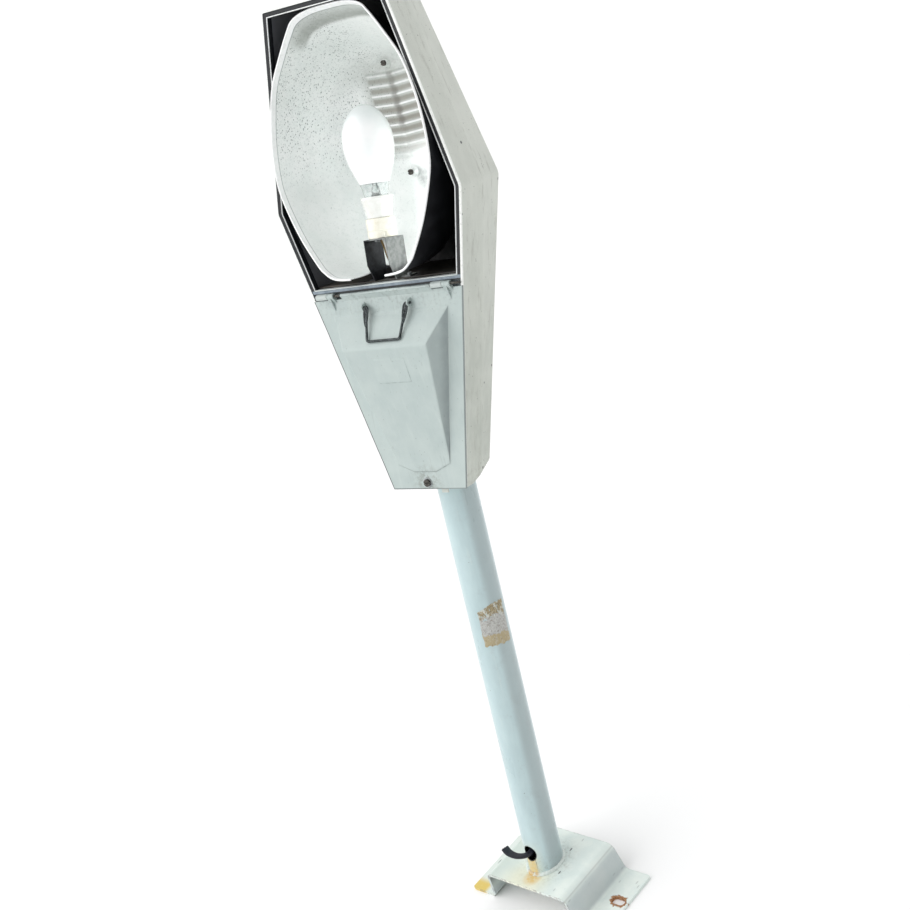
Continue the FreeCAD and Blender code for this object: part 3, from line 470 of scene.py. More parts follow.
def bright_metal():
    """Brightened aluminium gone milky, with dark flecks high up. Painted shade darkens the end wall,
    the rib troughs, the fold between the rib fans, the deep, upper and left parts of the bowl and a
    line under the rim; painted highlights whiten the rib crests and the white rolled edge, and the
    lower right glows with painted light.
    """
    f = Finish("bright_metal", OPTIC, Metallic=0.2)
    cloud = f.noise(60, 5, 0.6)
    mottle = f.noise(7, 6, 0.75)
    across = abs(f.x)
    f.paint = f.mix(cloud.up(0.3, 0.7), "eff4f2", "fafcfb")
    f.tint("cdd5d3", mottle.up(0.52, 0.7) * 0.4)
    upper = f.z.up(-70, 50, 0.12, 1)
    left = f.x.up(-30, 20, 1, 0.15)
    spots = f.pits(3.3, 0.9, 0.17, 0.14, (1, 1, 1.5)) * f.noise(24, 3).up(0.30, 0.52)
    flecks = spots * upper * left
    f.tint("6f7677", flecks * 0.85)
    f.tint("9aa3a3", f.noise(2.6, 4, 0.8).up(0.54, 0.62) * upper * left * 0.5)
    f.tint("7d8484", f.pits(10, 0.3, 0.05, 0.05) * 0.6)
    # painted shade deep in the bowl, above its middle
    f.tint("adaea8", f.y.up(62, 82) * f.z.up(-34, 6) * f.x.up(-66, -44) * 0.6)
    ribbed = across.down(41, 47) * f.z.up(-34, 14) * f.z.down(99, 103) * f.y.up(60, 70)
    slant = f.z - across * (RIB_SLANT / RIB_REACH)
    wave = f.calc("COSINE", (slant - RIB_CREST) * (2.0 * math.pi / RIB_PITCH))
    # painted shade in the rib troughs and painted highlights on the rib crests
    f.tint("8e887e", ribbed * wave.up(-1, 0.55, 0.75, 0))
    f.tint("ffffff", ribbed * wave.up(0.72, 0.98))
    # painted shade along the fold where the rib fans meet
    f.tint("605b54", ribbed * across.down(1.5, 9) * f.z.up(10, 30) * 0.55)
    # painted shade on the end wall, darkest near the crease
    end_wall = f.y.down(CREASE_Y, CREASE_Y + 6) * f.y.up(RIM_Y + 10, CREASE_Y - 4, 0.55, 1)
    f.tint("8f928d", end_wall * f.z.up(140, 162) * mottle.up(0.3, 0.7, 0.74, 0.94))
    # painted shade: the bowl greys high up, deep in, and towards the left
    f.tint("a3a6a1", f.y.up(40, 75) * f.z.up(70, 112) * mottle.up(0.3, 0.7, 0.3, 0.6))
    f.tint("b2bab2", f.z.up(30, 130) * 0.22)
    f.tint("a9b4b2", f.x.up(30, -70) * 0.08)
    patch = f.near(14, 84, -58, 10, 22) * f.x.up(-6, 6)
    f.tint("a2a6a6", patch * mottle.up(0.35, 0.65, 0.3, 0.8))
    # painted shadow: a grey line under the rolled rim
    f.tint("828a8a", f.y.down(RIM_Y + 8.4, RIM_Y + 9.6) * 0.6)
    # painted highlight: a white line along the rolled edge
    f.tint("fcfdfd", f.y.down(RIM_Y + 7.2, RIM_Y + 7.9) * mottle.up(0.4, 0.8, 1, 0.7))
    # painted light: the lower right of the bowl glows
    glow = f.x.up(-20, 50) * f.z.up(20, -50) * f.y.up(-44, -30)
    f.feed(f.bsdf.inputs["Emission Strength"], glow * (0.72 - patch * 0.65))
    rough = cloud.up(0.3, 0.7, 0.36, 0.46) + flecks * 0.3
    return f.done(rough, (f.noise(1, 3), 0.05, 0.4), (f.noise(34, 2), 1, 0.3))


def plain_metal(name, dark, pale, size, roughness, place=None):
    """Bare metal, mottled from dark to pale, with fine scratches."""
    f = Finish(name, place, Metallic=0.9)
    cloud = f.noise(size, 5, 0.65)
    f.paint = f.mix(cloud.up(0.35, 0.65), dark, pale)
    f.tint("d4d6d6", f.noise(size * 0.2, 3, 0.6, (1, 1, 8)).up(0.6, 0.72, 0, 0.4))
    return f.done(cloud.up(0.3, 0.7, roughness, roughness + 0.2), (cloud, 0.12, 0.4))


def moulded(name, base, stain, roughness, place, size, amount, **values):
    """Plastic, rubber, ceramic or enamel with a stain and a fine surface grain."""
    f = Finish(name, place, **values)
    cloud = f.noise(size, 5, 0.65)
    f.paint = f.mix(cloud.up(0.42, 0.7, 0, amount), base, stain)
    return f.done(cloud.up(0.3, 0.7, roughness, roughness + 0.15), (f.noise(0.8, 3), 0.04, 0.5))


def rubber_strip():
    """Gasket: black along the sides, faded blue-grey along the crossbar."""
    f = Finish("rubber", HEAD)
    cloud = f.noise(12, 5, 0.65)
    black = f.mix(cloud.up(0.42, 0.7, 0, 0.6), "17191c", "34373a")
    faded = f.mix(cloud.up(0.35, 0.65), "7f8c97", "9aa6b0")
    f.paint = f.mix(f.z.down(314.4, 315.4), black, faded)
    return f.done(cloud.up(0.3, 0.7, 0.5, 0.68), (f.noise(0.8, 3), 0.04, 0.5))


def bar_paint():
    """Crossbar: bright lip, blue-grey channel floor and a dark line of painted shade along the web.
    """
    f = Finish("bar_paint", HEAD, Coat_Weight=0.2, Coat_Roughness=0.3)
    grime = f.noise(8, 6, 0.7, (4, 1, 1))
    f.paint = f.mix(grime.up(0.35, 0.65), "8f999e", "b4bdc0")
    f.tint(f.mix(grime.up(0.45, 0.7, 0, 0.5), "e6ebea", "b9c0bf"), f.z.up(313.6, 314.6))
    f.tint("bcc5c2", f.y.up(0.6 - FACE, -0.4 - FACE))
    # painted shade: a near black line along the web, below the lip
    web = f.z.up(307.2, 307.8) * f.z.down(309.7, 310.2) * f.y.up(1 - FACE, 1.3 - FACE)
    f.tint("1f2022", web)
    return f.done(0.4, (f.noise(1.5, 4), 0.08, 0.5))


def lamp_white():
    """Phosphor-coated glass: milky white under a gloss outer skin, with a faint painted glow."""
    f = Finish("lamp_white", OPTIC, Coat_Weight=1.0, Coat_Roughness=0.04, Subsurface_Weight=0.2,
               Subsurface_Radius=(0.004, 0.004, 0.004), Emission_Strength=0.05)
    f.paint = f.mix(f.noise(30, 3).up(0.3, 0.7), "f3f7f7", "fcfdfd")
    f.tint("cdd5d5", f.z.up(10, 54, 0, 0.6))
    # painted light: the glass glows faintly in its own colour, though the lamp is not lit
    f.feed(f.bsdf.inputs["Emission Color"], f.paint)
    return f.done(0.35, (f.noise(12, 2), 0.1, 0.2))


def clear_glass():
    """Clear glass with a faint grey haze."""
    f = Finish("clear_glass", OPTIC, Transmission_Weight=1.0, IOR=1.47, Coat_Weight=0.3)
    f.paint = f.mix(f.noise(6, 3).up(0.4, 0.7), "fdfefe", "eef4f3")
    return f.done(0.03)


def label_paper():
    """Weathered sticker: torn beige bands over and under a strip of lilac-grey glue."""
    f = Finish("label_paper", TUBE, Coat_Weight=0.05)
    wobble = f.z + f.noise(11, 5, 0.7).up(0.25, 0.75, -9, 9)
    fine = f.noise(3, 5, 0.7)
    tan = f.mix(fine.up(0.38, 0.62), "a99b7c", "83775a")
    glue = f.mix(fine.up(0.42, 0.6), "bcbdba", "a19f9b")
    f.paint = f.mix(wobble.up(446, 451), glue, tan)
    f.tint("ada080", wobble.down(413, 418))
    flakes = f.noise(6, 5, 0.8, (1, 1, 2)).up(0.50, 0.58)
    f.tint("d0d4cc", flakes * f.z.up(436, 446, 0.25, 0.85))
    f.tint("73624c", f.noise(4, 4, 0.7).up(0.6, 0.66) * 0.7)
    return f.done(0.75, (fine, 0.25, 0.6))


def holder_steel():
    """The lampholder's bracket: near black on the left leg, in painted shade, dull grey on the
    right.
    """
    f = Finish("holder_steel", HEAD, Metallic=0.6)
    cloud = f.noise(8, 5, 0.65)
    left = f.mix(cloud.up(0.35, 0.65), "1b1c1f", "34363a")
    right = f.mix(cloud.up(0.35, 0.65), "6d7070", "8f9290")
    # painted shade: the left leg is near black, the right leg a lit grey
    f.paint = f.mix(f.x.up(-14, -6), left, right)
    return f.done(cloud.up(0.3, 0.7, 0.35, 0.55), (cloud, 0.12, 0.4))


def laminated():
    """Stacked iron laminations, 1.4 mm apart, under varnish."""
    f = Finish("laminated", HEAD, Metallic=0.5, Coat_Weight=0.4, Coat_Roughness=0.25)
    stack = f.calc("SINE", f.x * (2.0 * math.pi / 1.4))
    f.paint = f.mix(stack.up(-0.4, 0.6), "2e2c2b", "5a5550")
    f.tint("6b4a33", f.noise(9, 5, 0.7).up(0.52, 0.66, 0, 0.7))
    return f.done(0.45, (stack, 0.2, 0.7))


def wound():
    """Turns of copper wire, 0.9 mm apart, under varnish."""
    f = Finish("wound", HEAD, Metallic=0.6, Coat_Weight=0.7, Coat_Roughness=0.15)
    turns = f.calc("SINE", f.y * (2.0 * math.pi / 0.9))
    f.paint = f.mix(turns.up(-0.5, 0.5), "5b2a14", "b0672f")
    f.tint("3b2517", f.noise(8, 4).up(0.55, 0.7, 0, 0.6))
    return f.done(0.3, (turns, 0.3, 0.8))


SHELL = shell_paint()
INSIDE = shell_inside()
COVER = cover_paint()
METAL = bright_metal()
LIP = channel_paint()
DULL = moulded("reflector_back", "17181c", "2b2d31", 0.5, OPTIC, 20.0, 0.6, Metallic=0.3)
WIRE_STEEL = plain_metal("wire_steel", "2b3031", "5c6162", 4.0, 0.38, HEAD)
ZINC = plain_metal("zinc", "8b9092", "b3b7b7", 9.0, 0.32)
DARK_STEEL = plain_metal("dark_steel", "3a3735", "63605b", 4.0, 0.4)
BRASS = plain_metal("brass", "8f7436", "c2a463", 5.0, 0.3)
LAMP_CAP = plain_metal("lamp_cap", "a7a391", "c9c7bd", 5.0, 0.25)
BAR = bar_paint()
RUBBER = rubber_strip()
CABLE = moulded("cable_sheath", "101320", "272b38", 0.28, TUBE, 9.0, 0.5)
GLAZED = moulded("glazed_white", "f1f3ef", "d3d2c8", 0.16, None, 12.0, 0.4, Coat_Weight=0.8,
                 Coat_Roughness=0.06)
CREAM = moulded("cream_ceramic", "f5f3e6", "dcd5bd", 0.3, None, 9.0, 0.5, Coat_Weight=0.4)
PARTITION = moulded("partition_paint", "4b4946", "70695f", 0.5, HEAD, 14.0, 0.8)
CAN = moulded("can_paint", "9aa0a1", "6f7577", 0.35, HEAD, 12.0, 0.5, Metallic=0.7)
TERMINAL = moulded("terminal_plastic", "c9bfa6", "8b7f66", 0.4, HEAD, 8.0, 0.6)
COPPER = plain_metal("copper", "a8562f", "d98a55", 2.0, 0.25)
WIRES = [moulded("wire_" + name, base, stain, 0.35, None, 6.0, 0.5) for name, base, stain in
         (("brown", "8c7446", "5f4a2a"), ("white", "f3f4f0", "c9c8bd"),
          ("blue", "c3d4e0", "93a5b2"), ("black", "1c1c1e", "3b3b3c"))]


# ---------------------------------------------------------------- mesh tools
def angles(count):
    """Even angles once round a circle."""
    return [2 * math.pi * i / count for i in range(count)]


def circle(centre, side, other, radius, count):
    return [centre + (side * math.cos(a) + other * math.sin(a)) * radius for a in angles(count)]


def head_circle(radius, depth, w, count):
    """Circle round a point on the head's centre line, flat to its front face."""
    return [hd(radius * math.cos(a), depth, w + radius * math.sin(a)) for a in angles(count)]


def heading(line, i):
    """Way that a line of points runs at one of them."""
    return line[min(i + 1, len(line) - 1)] - line[max(i - 1, 0)]


class Shape:
    """Points in millimetres and faces, each face with the index of its finish."""

    def __init__(self):
        self.points = []
        self.faces = []
        self.marks = []

    def add(self, points, faces, mark=0):
        base = len(self.points)
        self.points += [Vector(p) for p in points]
        self.faces += [[i + base for i in f] for f in faces]
        self.marks += [mark] * len(faces)

    def grid(self, rows, wrap=False, mark=0):
        n = len(rows[0])
        faces = []
        for i in range(len(rows) - 1):
            for j in range(n if wrap else n - 1):
                k = (j + 1) % n
                faces.append((i * n + j, i * n + k, (i + 1) * n + k, (i + 1) * n + j))
        self.add([p for row in rows for p in row], faces, mark)

    def tube(self, rings, mark=0):
        """Closed skin through rings of points, with flat ends."""
        n = len(rings[0])
        self.grid(rings, wrap=True, mark=mark)
        base = len(self.points) - n * len(rings)
        last = len(self.points) - n
        self.faces += [[base + i for i in reversed(range(n))], [last + i for i in range(n)]]
        self.marks += [mark, mark]

    def bar(self, u0, u1, outline, mark=0):
        """Straight bar across the head with the outline of (depth, w) points."""
        end = [hd(u0, depth, w) for depth, w in outline]
        self.tube([end, [p + Vector((u1 - u0, 0, 0)) for p in end]], mark)

    def box(self, u0, u1, d0, d1, w0, w1, mark=0):
        self.bar(u0, u1, ((d0, w0), (d1, w0), (d1, w1), (d0, w1)), mark)

    def rod(self, start, end, radius, count=28, mark=0):
        axis = Vector(end) - Vector(start)
        side = axis.orthogonal().normalized()
        other = axis.normalized().cross(side)
        self.tube([circle(Vector(p), side, other, radius, count) for p in (start, end)], mark)

    def sweep(self, path, radius, count=14):
        """Round wire along a path of points."""
        side = (path[1] - path[0]).orthogonal().normalized()
        rings = []
        for i, p in enumerate(path):
            along = heading(path, i).normalized()
            side = (side - along * side.dot(along)).normalized()
            rings.append(circle(p, side, along.cross(side), radius, count))
        self.tube(rings)

    def lathe(self, profile, count, mark=0, marks=None):
        """Revolve (radius, height) pairs about local z. Radius 0 closes to a point."""
        rings = []
        for radius, height in profile:
            start = len(self.points)
            for a in angles(count if radius > 1e-6 else 1):
                self.points.append(Vector((radius * math.cos(a), radius * math.sin(a), height)))
            rings.append(range(start, len(self.points)))
        for k, (low, high) in enumerate(zip(rings, rings[1:])):
            for i in range(count):
                j = (i + 1) % count
                quad = [low[i % len(low)], low[j % len(low)], high[j % len(high)],
                        high[i % len(high)]]
                quad = [v for n, v in enumerate(quad) if v not in quad[:n]]
                if len(quad) > 2:
                    self.faces.append(quad)
                    self.marks.append(marks[k] if marks else mark)


def spline_point(a, b, c, d, t):
    """Catmull-Rom point between b and c."""
    return 0.5 * ((2 * b) + (c - a) * t + (2 * a - 5 * b + 4 * c - d) * t * t
                  + (3 * b - a - 3 * c + d) * t ** 3)


def bend(start, corner, end, steps):
    """Short curve from start to end that turns at the corner."""
    return [start * (1 - t) ** 2 + corner * (2 * t * (1 - t)) + end * t * t
            for t in (k / steps for k in range(steps + 1))]


def smooth_line(points, per_run):
    """Open Catmull-Rom line through the points."""
    pts = [Vector(p) for p in points]
    out = []
    for i in range(len(pts) - 1):
        a, b = pts[max(i - 1, 0)], pts[i]
        c, d = pts[i + 1], pts[min(i + 2, len(pts) - 1)]
        out += [spline_point(a, b, c, d, k / per_run) for k in range(per_run)]
    out.append(pts[-1])
    return out


@contextlib.contextmanager
def editing(mesh):
    """The mesh as a bmesh, written back at the end."""
    work = bmesh.new()
    work.from_mesh(mesh)
    yield work
    work.to_mesh(mesh)
    work.free()


def make_object(name, shape, place):
    mesh = bpy.data.meshes.new(name)
    mesh.from_pydata([p * MM for p in shape.points], [], shape.faces)
    mesh.polygons.foreach_set("material_index", shape.marks)
    obj = bpy.data.objects.new(name, mesh)
    scene.collection.objects.link(obj)
    obj.matrix_world = place
    with editing(mesh) as work:
        bmesh.ops.remove_doubles(work, verts=work.verts, dist=1e-6)
        bmesh.ops.recalc_face_normals(work, faces=work.faces)
    return obj


def face_way(obj, face, way):
    """Turn the mesh inside out if this face of it looks away from the given way."""
    if face.normal.dot(Vector(way)) < 0:
        obj.data.flip_normals()


def coat(obj, *finishes):
    for mat in finishes:
        obj.data.materials.append(mat)


def bake(obj):
    """Replace the mesh by its modified result and drop the modifiers."""
    bpy.context.view_layer.update()
    result = bpy.data.meshes.new_from_object(
        obj.evaluated_get(bpy.context.evaluated_depsgraph_get()))
    obj.modifiers.clear()
    obj.data = result


def thicken(obj, thickness, even=True, inner=0):
    """Give a skin its thickness, inwards. inner is added to the finish numbers of its inside."""
    step = obj.modifiers.new("skin", "SOLIDIFY")
    step.thickness = thickness * MM
    step.offset = -1.0
    step.use_even_offset = even
    step.material_offset = inner
    bake(obj)


def cut(obj, shape, place):
    cutter = make_object("cutter", shape, place)
    step = obj.modifiers.new("cut", "BOOLEAN")
    step.operation = "DIFFERENCE"
    step.object = cutter
    step.solver = "EXACT"
    bake(obj)
    bpy.data.objects.remove(cutter)


def soften(obj, width, angle=30.0, count=3):
    step = obj.modifiers.new("bevel", "BEVEL")
    step.width = width * MM
    step.segments = count
    step.limit_method = "ANGLE"
    step.angle_limit = math.radians(angle)
    step.use_clamp_overlap = True
    return step


def shade(obj, angle=40.0):
    obj.data.polygons.foreach_set("use_smooth", [True] * len(obj.data.polygons))
    obj.data.set_sharp_from_angle(angle=math.radians(angle))


def weigh_normals(obj):
    obj.modifiers.new("normals", "WEIGHTED_NORMAL").keep_sharp = True


def piece(name, shape, place, finishes, body="lamp_body", nodes=(), bevel=0.0, sheet=0.0,
          angle=40.0):
    """Build a piece, give it its finish, tie it to its body and let it stand for CAD nodes."""
    obj = make_object(name, shape, place)
    coat(obj, *finishes)
    if sheet:
        thicken(obj, sheet)
    if bevel:
        soften(obj, bevel)
        bake(obj)
    shade(obj, angle)
    if bevel:
        weigh_normals(obj)
    register(obj, body, nodes)
    return obj


def register(obj, body, nodes):
    """Settle the piece in the row frame and tie it to its body and CAD nodes."""
    obj.data.transform(obj.matrix_world)
    obj.matrix_world = Matrix()
    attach(obj, body)
    if nodes:
        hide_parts(*nodes)


def dress(node, mat, bevel):
    """Keep a CAD node, round its edges with modifiers and give it a finish."""
    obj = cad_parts[node]
    for place in obj.material_slots:
        place.link = "OBJECT"
        place.material = mat
    obj.modifiers.new("weld", "WELD").merge_threshold = 1e-5
    soften(obj, bevel, 32.0, 2)
    weigh_normals(obj)


def mixed(a, b, t):
    return a + (b - a) * t


def step_up(value, low, high):
    t = min(max((value - low) / (high - low), 0.0), 1.0)
    return t * t * (3.0 - 2.0 * t)


def smooth_min(a, b, k):
    h = max(k - abs(a - b), 0.0) / k
    return min(a, b) - h * h * k * 0.25


def smooth_max(a, b, k):
    return -smooth_min(-a, -b, k)


def inset(poly, amount):
    """Move every edge of the convex outline inwards (anticlockwise outline)."""
    n = len(poly)
    lines = []
    for i in range(n):
        (x0, y0), (x1, y1) = poly[i], poly[(i + 1) % n]
        length = math.hypot(x1 - x0, y1 - y0)
        nx, ny = -(y1 - y0) / length, (x1 - x0) / length
        lines.append((nx, ny, nx * x0 + ny * y0 + amount))
    out = []
    for i in range(n):
        a, b = lines[i - 1], lines[i]
        det = a[0] * b[1] - a[1] * b[0]
        out.append(((a[2] * b[1] - a[1] * b[2]) / det, (a[0] * b[2] - a[2] * b[0]) / det))
    return out


# ---------------------------------------------------------------- head shell
def shell_ring(index):
    w, section = SECTIONS[index]
    deep = SECTIONS[0][1][1][1]
    k = FOOT_SLOPE_FROM / deep
    half = [section[0], (mixed(section[0][0], section[1][0], k), mixed(0.0, section[1][1], k))]
    half += list(section[1:])
    if index == 0:
        above = SECTIONS[1][1]
        raised = []
        for i, (u, d) in enumerate(half):
            rise = 0.0
            if i >= 2:
                u1, d1 = above[i - 1]
                rise = FOOT_SLOPE * (d - FOOT_SLOPE_FROM) / (
                    1.0 - FOOT_SLOPE * (d1 - d) / SHOULDER_W)
                t = rise / SHOULDER_W
                u, d = mixed(u, u1, t), mixed(d, d1, t)
            raised.append(hd(u, d, rise))
        right = raised
    else:
        right = [hd(u, d, w) for u, d in half]
    left = [Vector((-p.x, p.y, p.z)) for p in reversed(right)]
    return right + left


def build_housing():
    shape = Shape()
    rings = [shell_ring(i) for i in range(3)]
    shape.grid(rings)
    n = len(rings[0])
    shape.faces += [[0, 1, n - 2, n - 1], list(range(1, n - 1)), [2 * n + i for i in range(n)]]
    shape.marks += [0, 0, 0]
    obj = make_object("housing", shape, HEAD)
    centre = sum((p for p in shape.points), Vector()) * (MM / len(shape.points))
    back = max(obj.data.polygons, key=lambda p: p.center.y)
    face_way(obj, back, back.center - centre)
    soften(obj, CORNER, 8.0, 5).use_clamp_overlap = False
    bake(obj)
    coat(obj, SHELL, INSIDE)
    thicken(obj, WALL, inner=1)
    step = Shape()
    step.box(-250, 250, -20, 2.3, -20, COVER_TOP_W + 0.5)
    cut(obj, step, HEAD)
    entry = Shape()
    entry.rod((0, 0, TUBE_FREE - 40), (0, 0, TUBE_FREE + 60), TUBE_R + 1.6, 72)
    cut(obj, entry, TUBE)
    soften(obj, 0.6, 50.0, 2)
    bake(obj)
    shade(obj, 35.0)
    weigh_normals(obj)
    register(obj, "lamp_body", ("housing_shell",))


def rim_line(amount):
    """The head outline moved inwards, from the crossbar up, over the top and down again."""
    poly = inset(OUTLINE, amount)
    (x0, w0), (x1, w1) = poly[1], poly[2]
    start = (x0 + (x1 - x0) * (BAR_TOP - w0) / (w1 - w0), BAR_TOP)
    corners = [start] + poly[2:] + [(-start[0], BAR_TOP)]
    line = [corners[0]]
    for i in range(1, len(corners) - 1):
        here = Vector(corners[i])
        a = (Vector(corners[i - 1]) - here).normalized()
        b = (Vector(corners[i + 1]) - here).normalized()
        half = 0.5 * math.acos(max(-1.0, min(1.0, a.dot(b))))
        radius = max(CORNER * math.tan(half) - amount, 0.8)
        cut_back = radius / math.tan(half)
        line += [tuple(p) for p in bend(here + a * cut_back, here, here + b * cut_back, 6)]
    line.append(corners[-1])
    return line


def build_channel():
    shape = Shape()
    profile = ((1.5, 8.0), (9.3, 8.0), (9.3, 0.6), (9.6, 0.1), (10.6, 0.1), (10.9, 0.6),
               (10.9, 10.0), (1.5, 10.0))
    lines = [[hd(u, depth, w) for u, w in rim_line(amount)] for amount, depth in profile]
    shape.tube([[line[i] for line in lines] for i in range(len(lines[0]))])
    rings = []
    for r, d in ((3.6, 2.8), (8.0, 2.8), (8.6, 3.4), (8.6, 17.0), (3.6, 17.0)):
        rings.append(head_circle(r, d, SCREW_W, 36))
    shape.grid(rings + [rings[0]], wrap=True, mark=1)
    shape.box(20, 32, 3, 5, -6.8, 4, mark=1)
    piece("housing_channel", shape, HEAD, [LIP, SHELL], bevel=0.35)


# ---------------------------------------------------------------- gear cover
def panel_depth(u, w):
    """Distance inside the raised panel's outline (negative outside)."""
    best = 1e9
    n = len(PANEL)
    for i in range(n):
        (x0, y0), (x1, y1) = PANEL[i], PANEL[(i + 1) % n]
        length = math.hypot(x1 - x0, y1 - y0)
        best = min(best, ((x1 - x0) * (w - y0) - (y1 - y0) * (u - x0)) / length)
    return best


def cover_height(u, w):
    """Height of the cover's face: wedge, raised panel, plain plaque, screw boss and slight dents."""
    top = WEDGE_HIGH * (WEDGE_TOP_W - w) / (WEDGE_TOP_W - WEDGE_RIDGE_W)
    front = WEDGE_HIGH * (w - WEDGE_FOOT_W) / (WEDGE_RIDGE_W - WEDGE_FOOT_W)
    p, q, r = SIDE_PLANE
    side = p * abs(u) + q * w + r
    wedge = smooth_min(smooth_min(top, front, 3.0), side, 2.4)
    panel = 1.6 * step_up(panel_depth(u, w), -0.9, 0.9)
    height = smooth_max(panel, wedge, 1.3)
    if -32.0 < u < 34.0 and 169.0 < w < 212.0:
        edge = min(u + 29.0, 31.0 - u, w - 172.0, 209.0 - w)
        height += 0.35 * step_up(edge, -0.7, 0.7)
    ring = math.hypot(u, w - SCREW_W)
    height += 0.5 * (1.0 - step_up(ring, 9.2, 10.8))
    height += 0.5 * noise.noise(Vector((u, w, 3.0)) * 0.022)
    return height


def build_cover():
    shape = Shape()
    rows = []
    count = 230
    for i in range(count + 1):
        w = COVER_TOP_W * i / count
        half = FOOT_HALF + SIDE_SLOPE * w - 0.2
        rows.append([hd(u, -max(cover_height(u, w), -0.3), w)
                     for u in (half * (j / 105 - 1.0) for j in range(211))])
    shape.grid(rows)
    obj = make_object("gear_cover_skin", shape, HEAD)
    face_way(obj, obj.data.polygons[0], (0, -1, 0))
    coat(obj, COVER)
    thicken(obj, COVER_SHEET, even=False)
    soften(obj, 0.5, 60.0, 2)
    bake(obj)
    hole = Shape()
    hole.rod(hd(0, -10, SCREW_W), hd(0, 10, SCREW_W), 2.8)
    cut(obj, hole, HEAD)
    shade(obj, 50.0)
    register(obj, "cover", ("gear_cover",))

    trim = Shape()
    trim.rod(hd(-84, HINGE_D, HINGE_W), hd(87, HINGE_D, HINGE_W), 2.4)
    trim.bar(-84, 87, ((0.0, 296.0), (1.9, 297.0), (1.9, 299.0), (-1.6, 305.0), (-4.6, 304.4)))
    for u0, u1 in ((-109.4, -97.0), (110.3, 124.0)):
        mid = 0.5 * (u0 + u1)
        trim.rod(hd(u0, HINGE_D, HINGE_W), hd(u1, HINGE_D, HINGE_W), 4.5)
        trim.bar(u0, u1, ((0.5, 294.0), (1.8, 299.0), (0.6, 303.4), (HINGE_D - 4.3, 303.5),
                          (-1.4, 296.0)))
        trim.bar(mid - 1, mid + 1, ((0.5, 282.0), (0.5, 300.0), (HINGE_D - 4.0, 303.0),
                                    (-1.0, 283.0)))
    for side in (-1, 1):
        ear = [(0.8, BAIL_W - 7.0), (0.8, BAIL_W + 7.0)]
        for i in range(13):
            a = math.pi * (0.5 - i / 12)
            ear.append((BAIL_D - 5.0 * math.cos(a), BAIL_W + 5.0 * math.sin(a)))
        trim.bar(side * 43.4 - 1, side * 43.4 + 1, ear)
    piece("gear_cover_trim", trim, HEAD, [COVER], body="cover", bevel=0.35)


def rounded(points, cut_back):
    """The path with each inner corner replaced by a short curve."""
    path = [Vector(points[0])]
    for i in range(1, len(points) - 1):
        here = Vector(points[i])
        before, after = (here + (Vector(p) - here).normalized() * cut_back
                         for p in (points[i - 1], points[i + 1]))
        path += bend(before, here, after, 7)
    path.append(Vector(points[-1]))
    return path


def build_bail():
    """The cover's wire handle, with a drawn-out loop of the same wire at each pivot, partly its hook
    and partly standing for the leg's dark shadow on the cover.
    """
    end_u, end_d, end_w = 31.0, -28.0, 237.3
    shape = Shape()
    half = [(47.0, BAIL_D, BAIL_W), (38.7, BAIL_D, BAIL_W), (end_u, end_d, end_w)]
    points = [hd(-u, d, w) for u, d, w in half] + [hd(u, d, w) for u, d, w in reversed(half)]
    shape.sweep(rounded(points, 4.0), 1.95)
    # each loop is partly the wire's hook and partly a dark stand-in for the leg's shadow on the
    # cover
    for side in (-1, 1):
        loop = []
        for u, w in ((37.6, 285.2), (40.6, 281.0), (40.4, 273.0), (38.2, 264.0), (35.6, 258.5),
                     (34.4, 264.0), (34.0, 273.0), (34.6, 281.0), (37.4, 285.0)):
            d = BAIL_D + (end_d - BAIL_D) * (BAIL_W - w) / (BAIL_W - end_w) - 0.4
            loop.append(hd(side * u, d, w))
        shape.sweep(smooth_line(loop, 6), 1.5)
    piece("bail_wire", shape, HEAD, [WIRE_STEEL], body="bail",
          nodes=("bail_latch",), angle=60.0)


# ---------------------------------------------------------------- reflector
def rim_loop(count):
    """Even points along the smooth closed rim, as (x, z)."""
    loop = list(RIM) + [(-x, z) for x, z in reversed(RIM[1:-1])]
    n = len(loop)
    dense = []
    for i in range(n):
        a, b, c, d = (Vector(loop[(i + k) % n]) for k in (-1, 0, 1, 2))
        dense += [spline_point(a, b, c, d, step / 24) for step in range(24)]
    lengths = [0.0]
    for i in range(len(dense)):
        lengths.append(lengths[-1] + (dense[(i + 1) % len(dense)] - dense[i]).length)
    out = []
    k = 0
    for i in range(count):
        goal = lengths[-1] * i / count
        while lengths[k + 1] < goal:
            k += 1
        t = (goal - lengths[k]) / (lengths[k + 1] - lengths[k])
        out.append(dense[k].lerp(dense[(k + 1) % len(dense)], t))
    return out


FLOOR_Y = BOWL_BACK + 5.0
BOWL_DEPTH = FLOOR_Y - RIM_Y
WALL_END = 0.62               # share of the rim's width where the wall has become the floor
TOP_SCALE = ((RIM_Y, 1.0), (CREASE_Y, 0.915), (2.0, 0.842), (24.0, 0.775), (52.0, 0.705),
             (74.0, 0.635), (BOWL_BACK, 0.575), (FLOOR_Y, 0.55))
LEAN = ((RIM_Y, 0.0), (0.0, 0.003), (22.0, 0.03), (55.0, 0.08), (76.0, 0.13), (FLOOR_Y, 0.149))


def lookup(table, y):
    """Straight lines between the rows of a table of (y, value)."""
    for (y0, a), (y1, b) in zip(table, table[1:]):
        if y <= y1:
            return mixed(a, b, (y - y0) / (y1 - y0))
    return table[-1][1]


def wall_scale(y):
    """Width of the bowl at depth y, as a share of the rim's width."""
    return (1.0 - ((y - RIM_Y) / BOWL_DEPTH) ** 2.2) ** 0.2


def wall_depth(share):
    return RIM_Y + BOWL_DEPTH * (1.0 - share ** 5) ** (1.0 / 2.2)


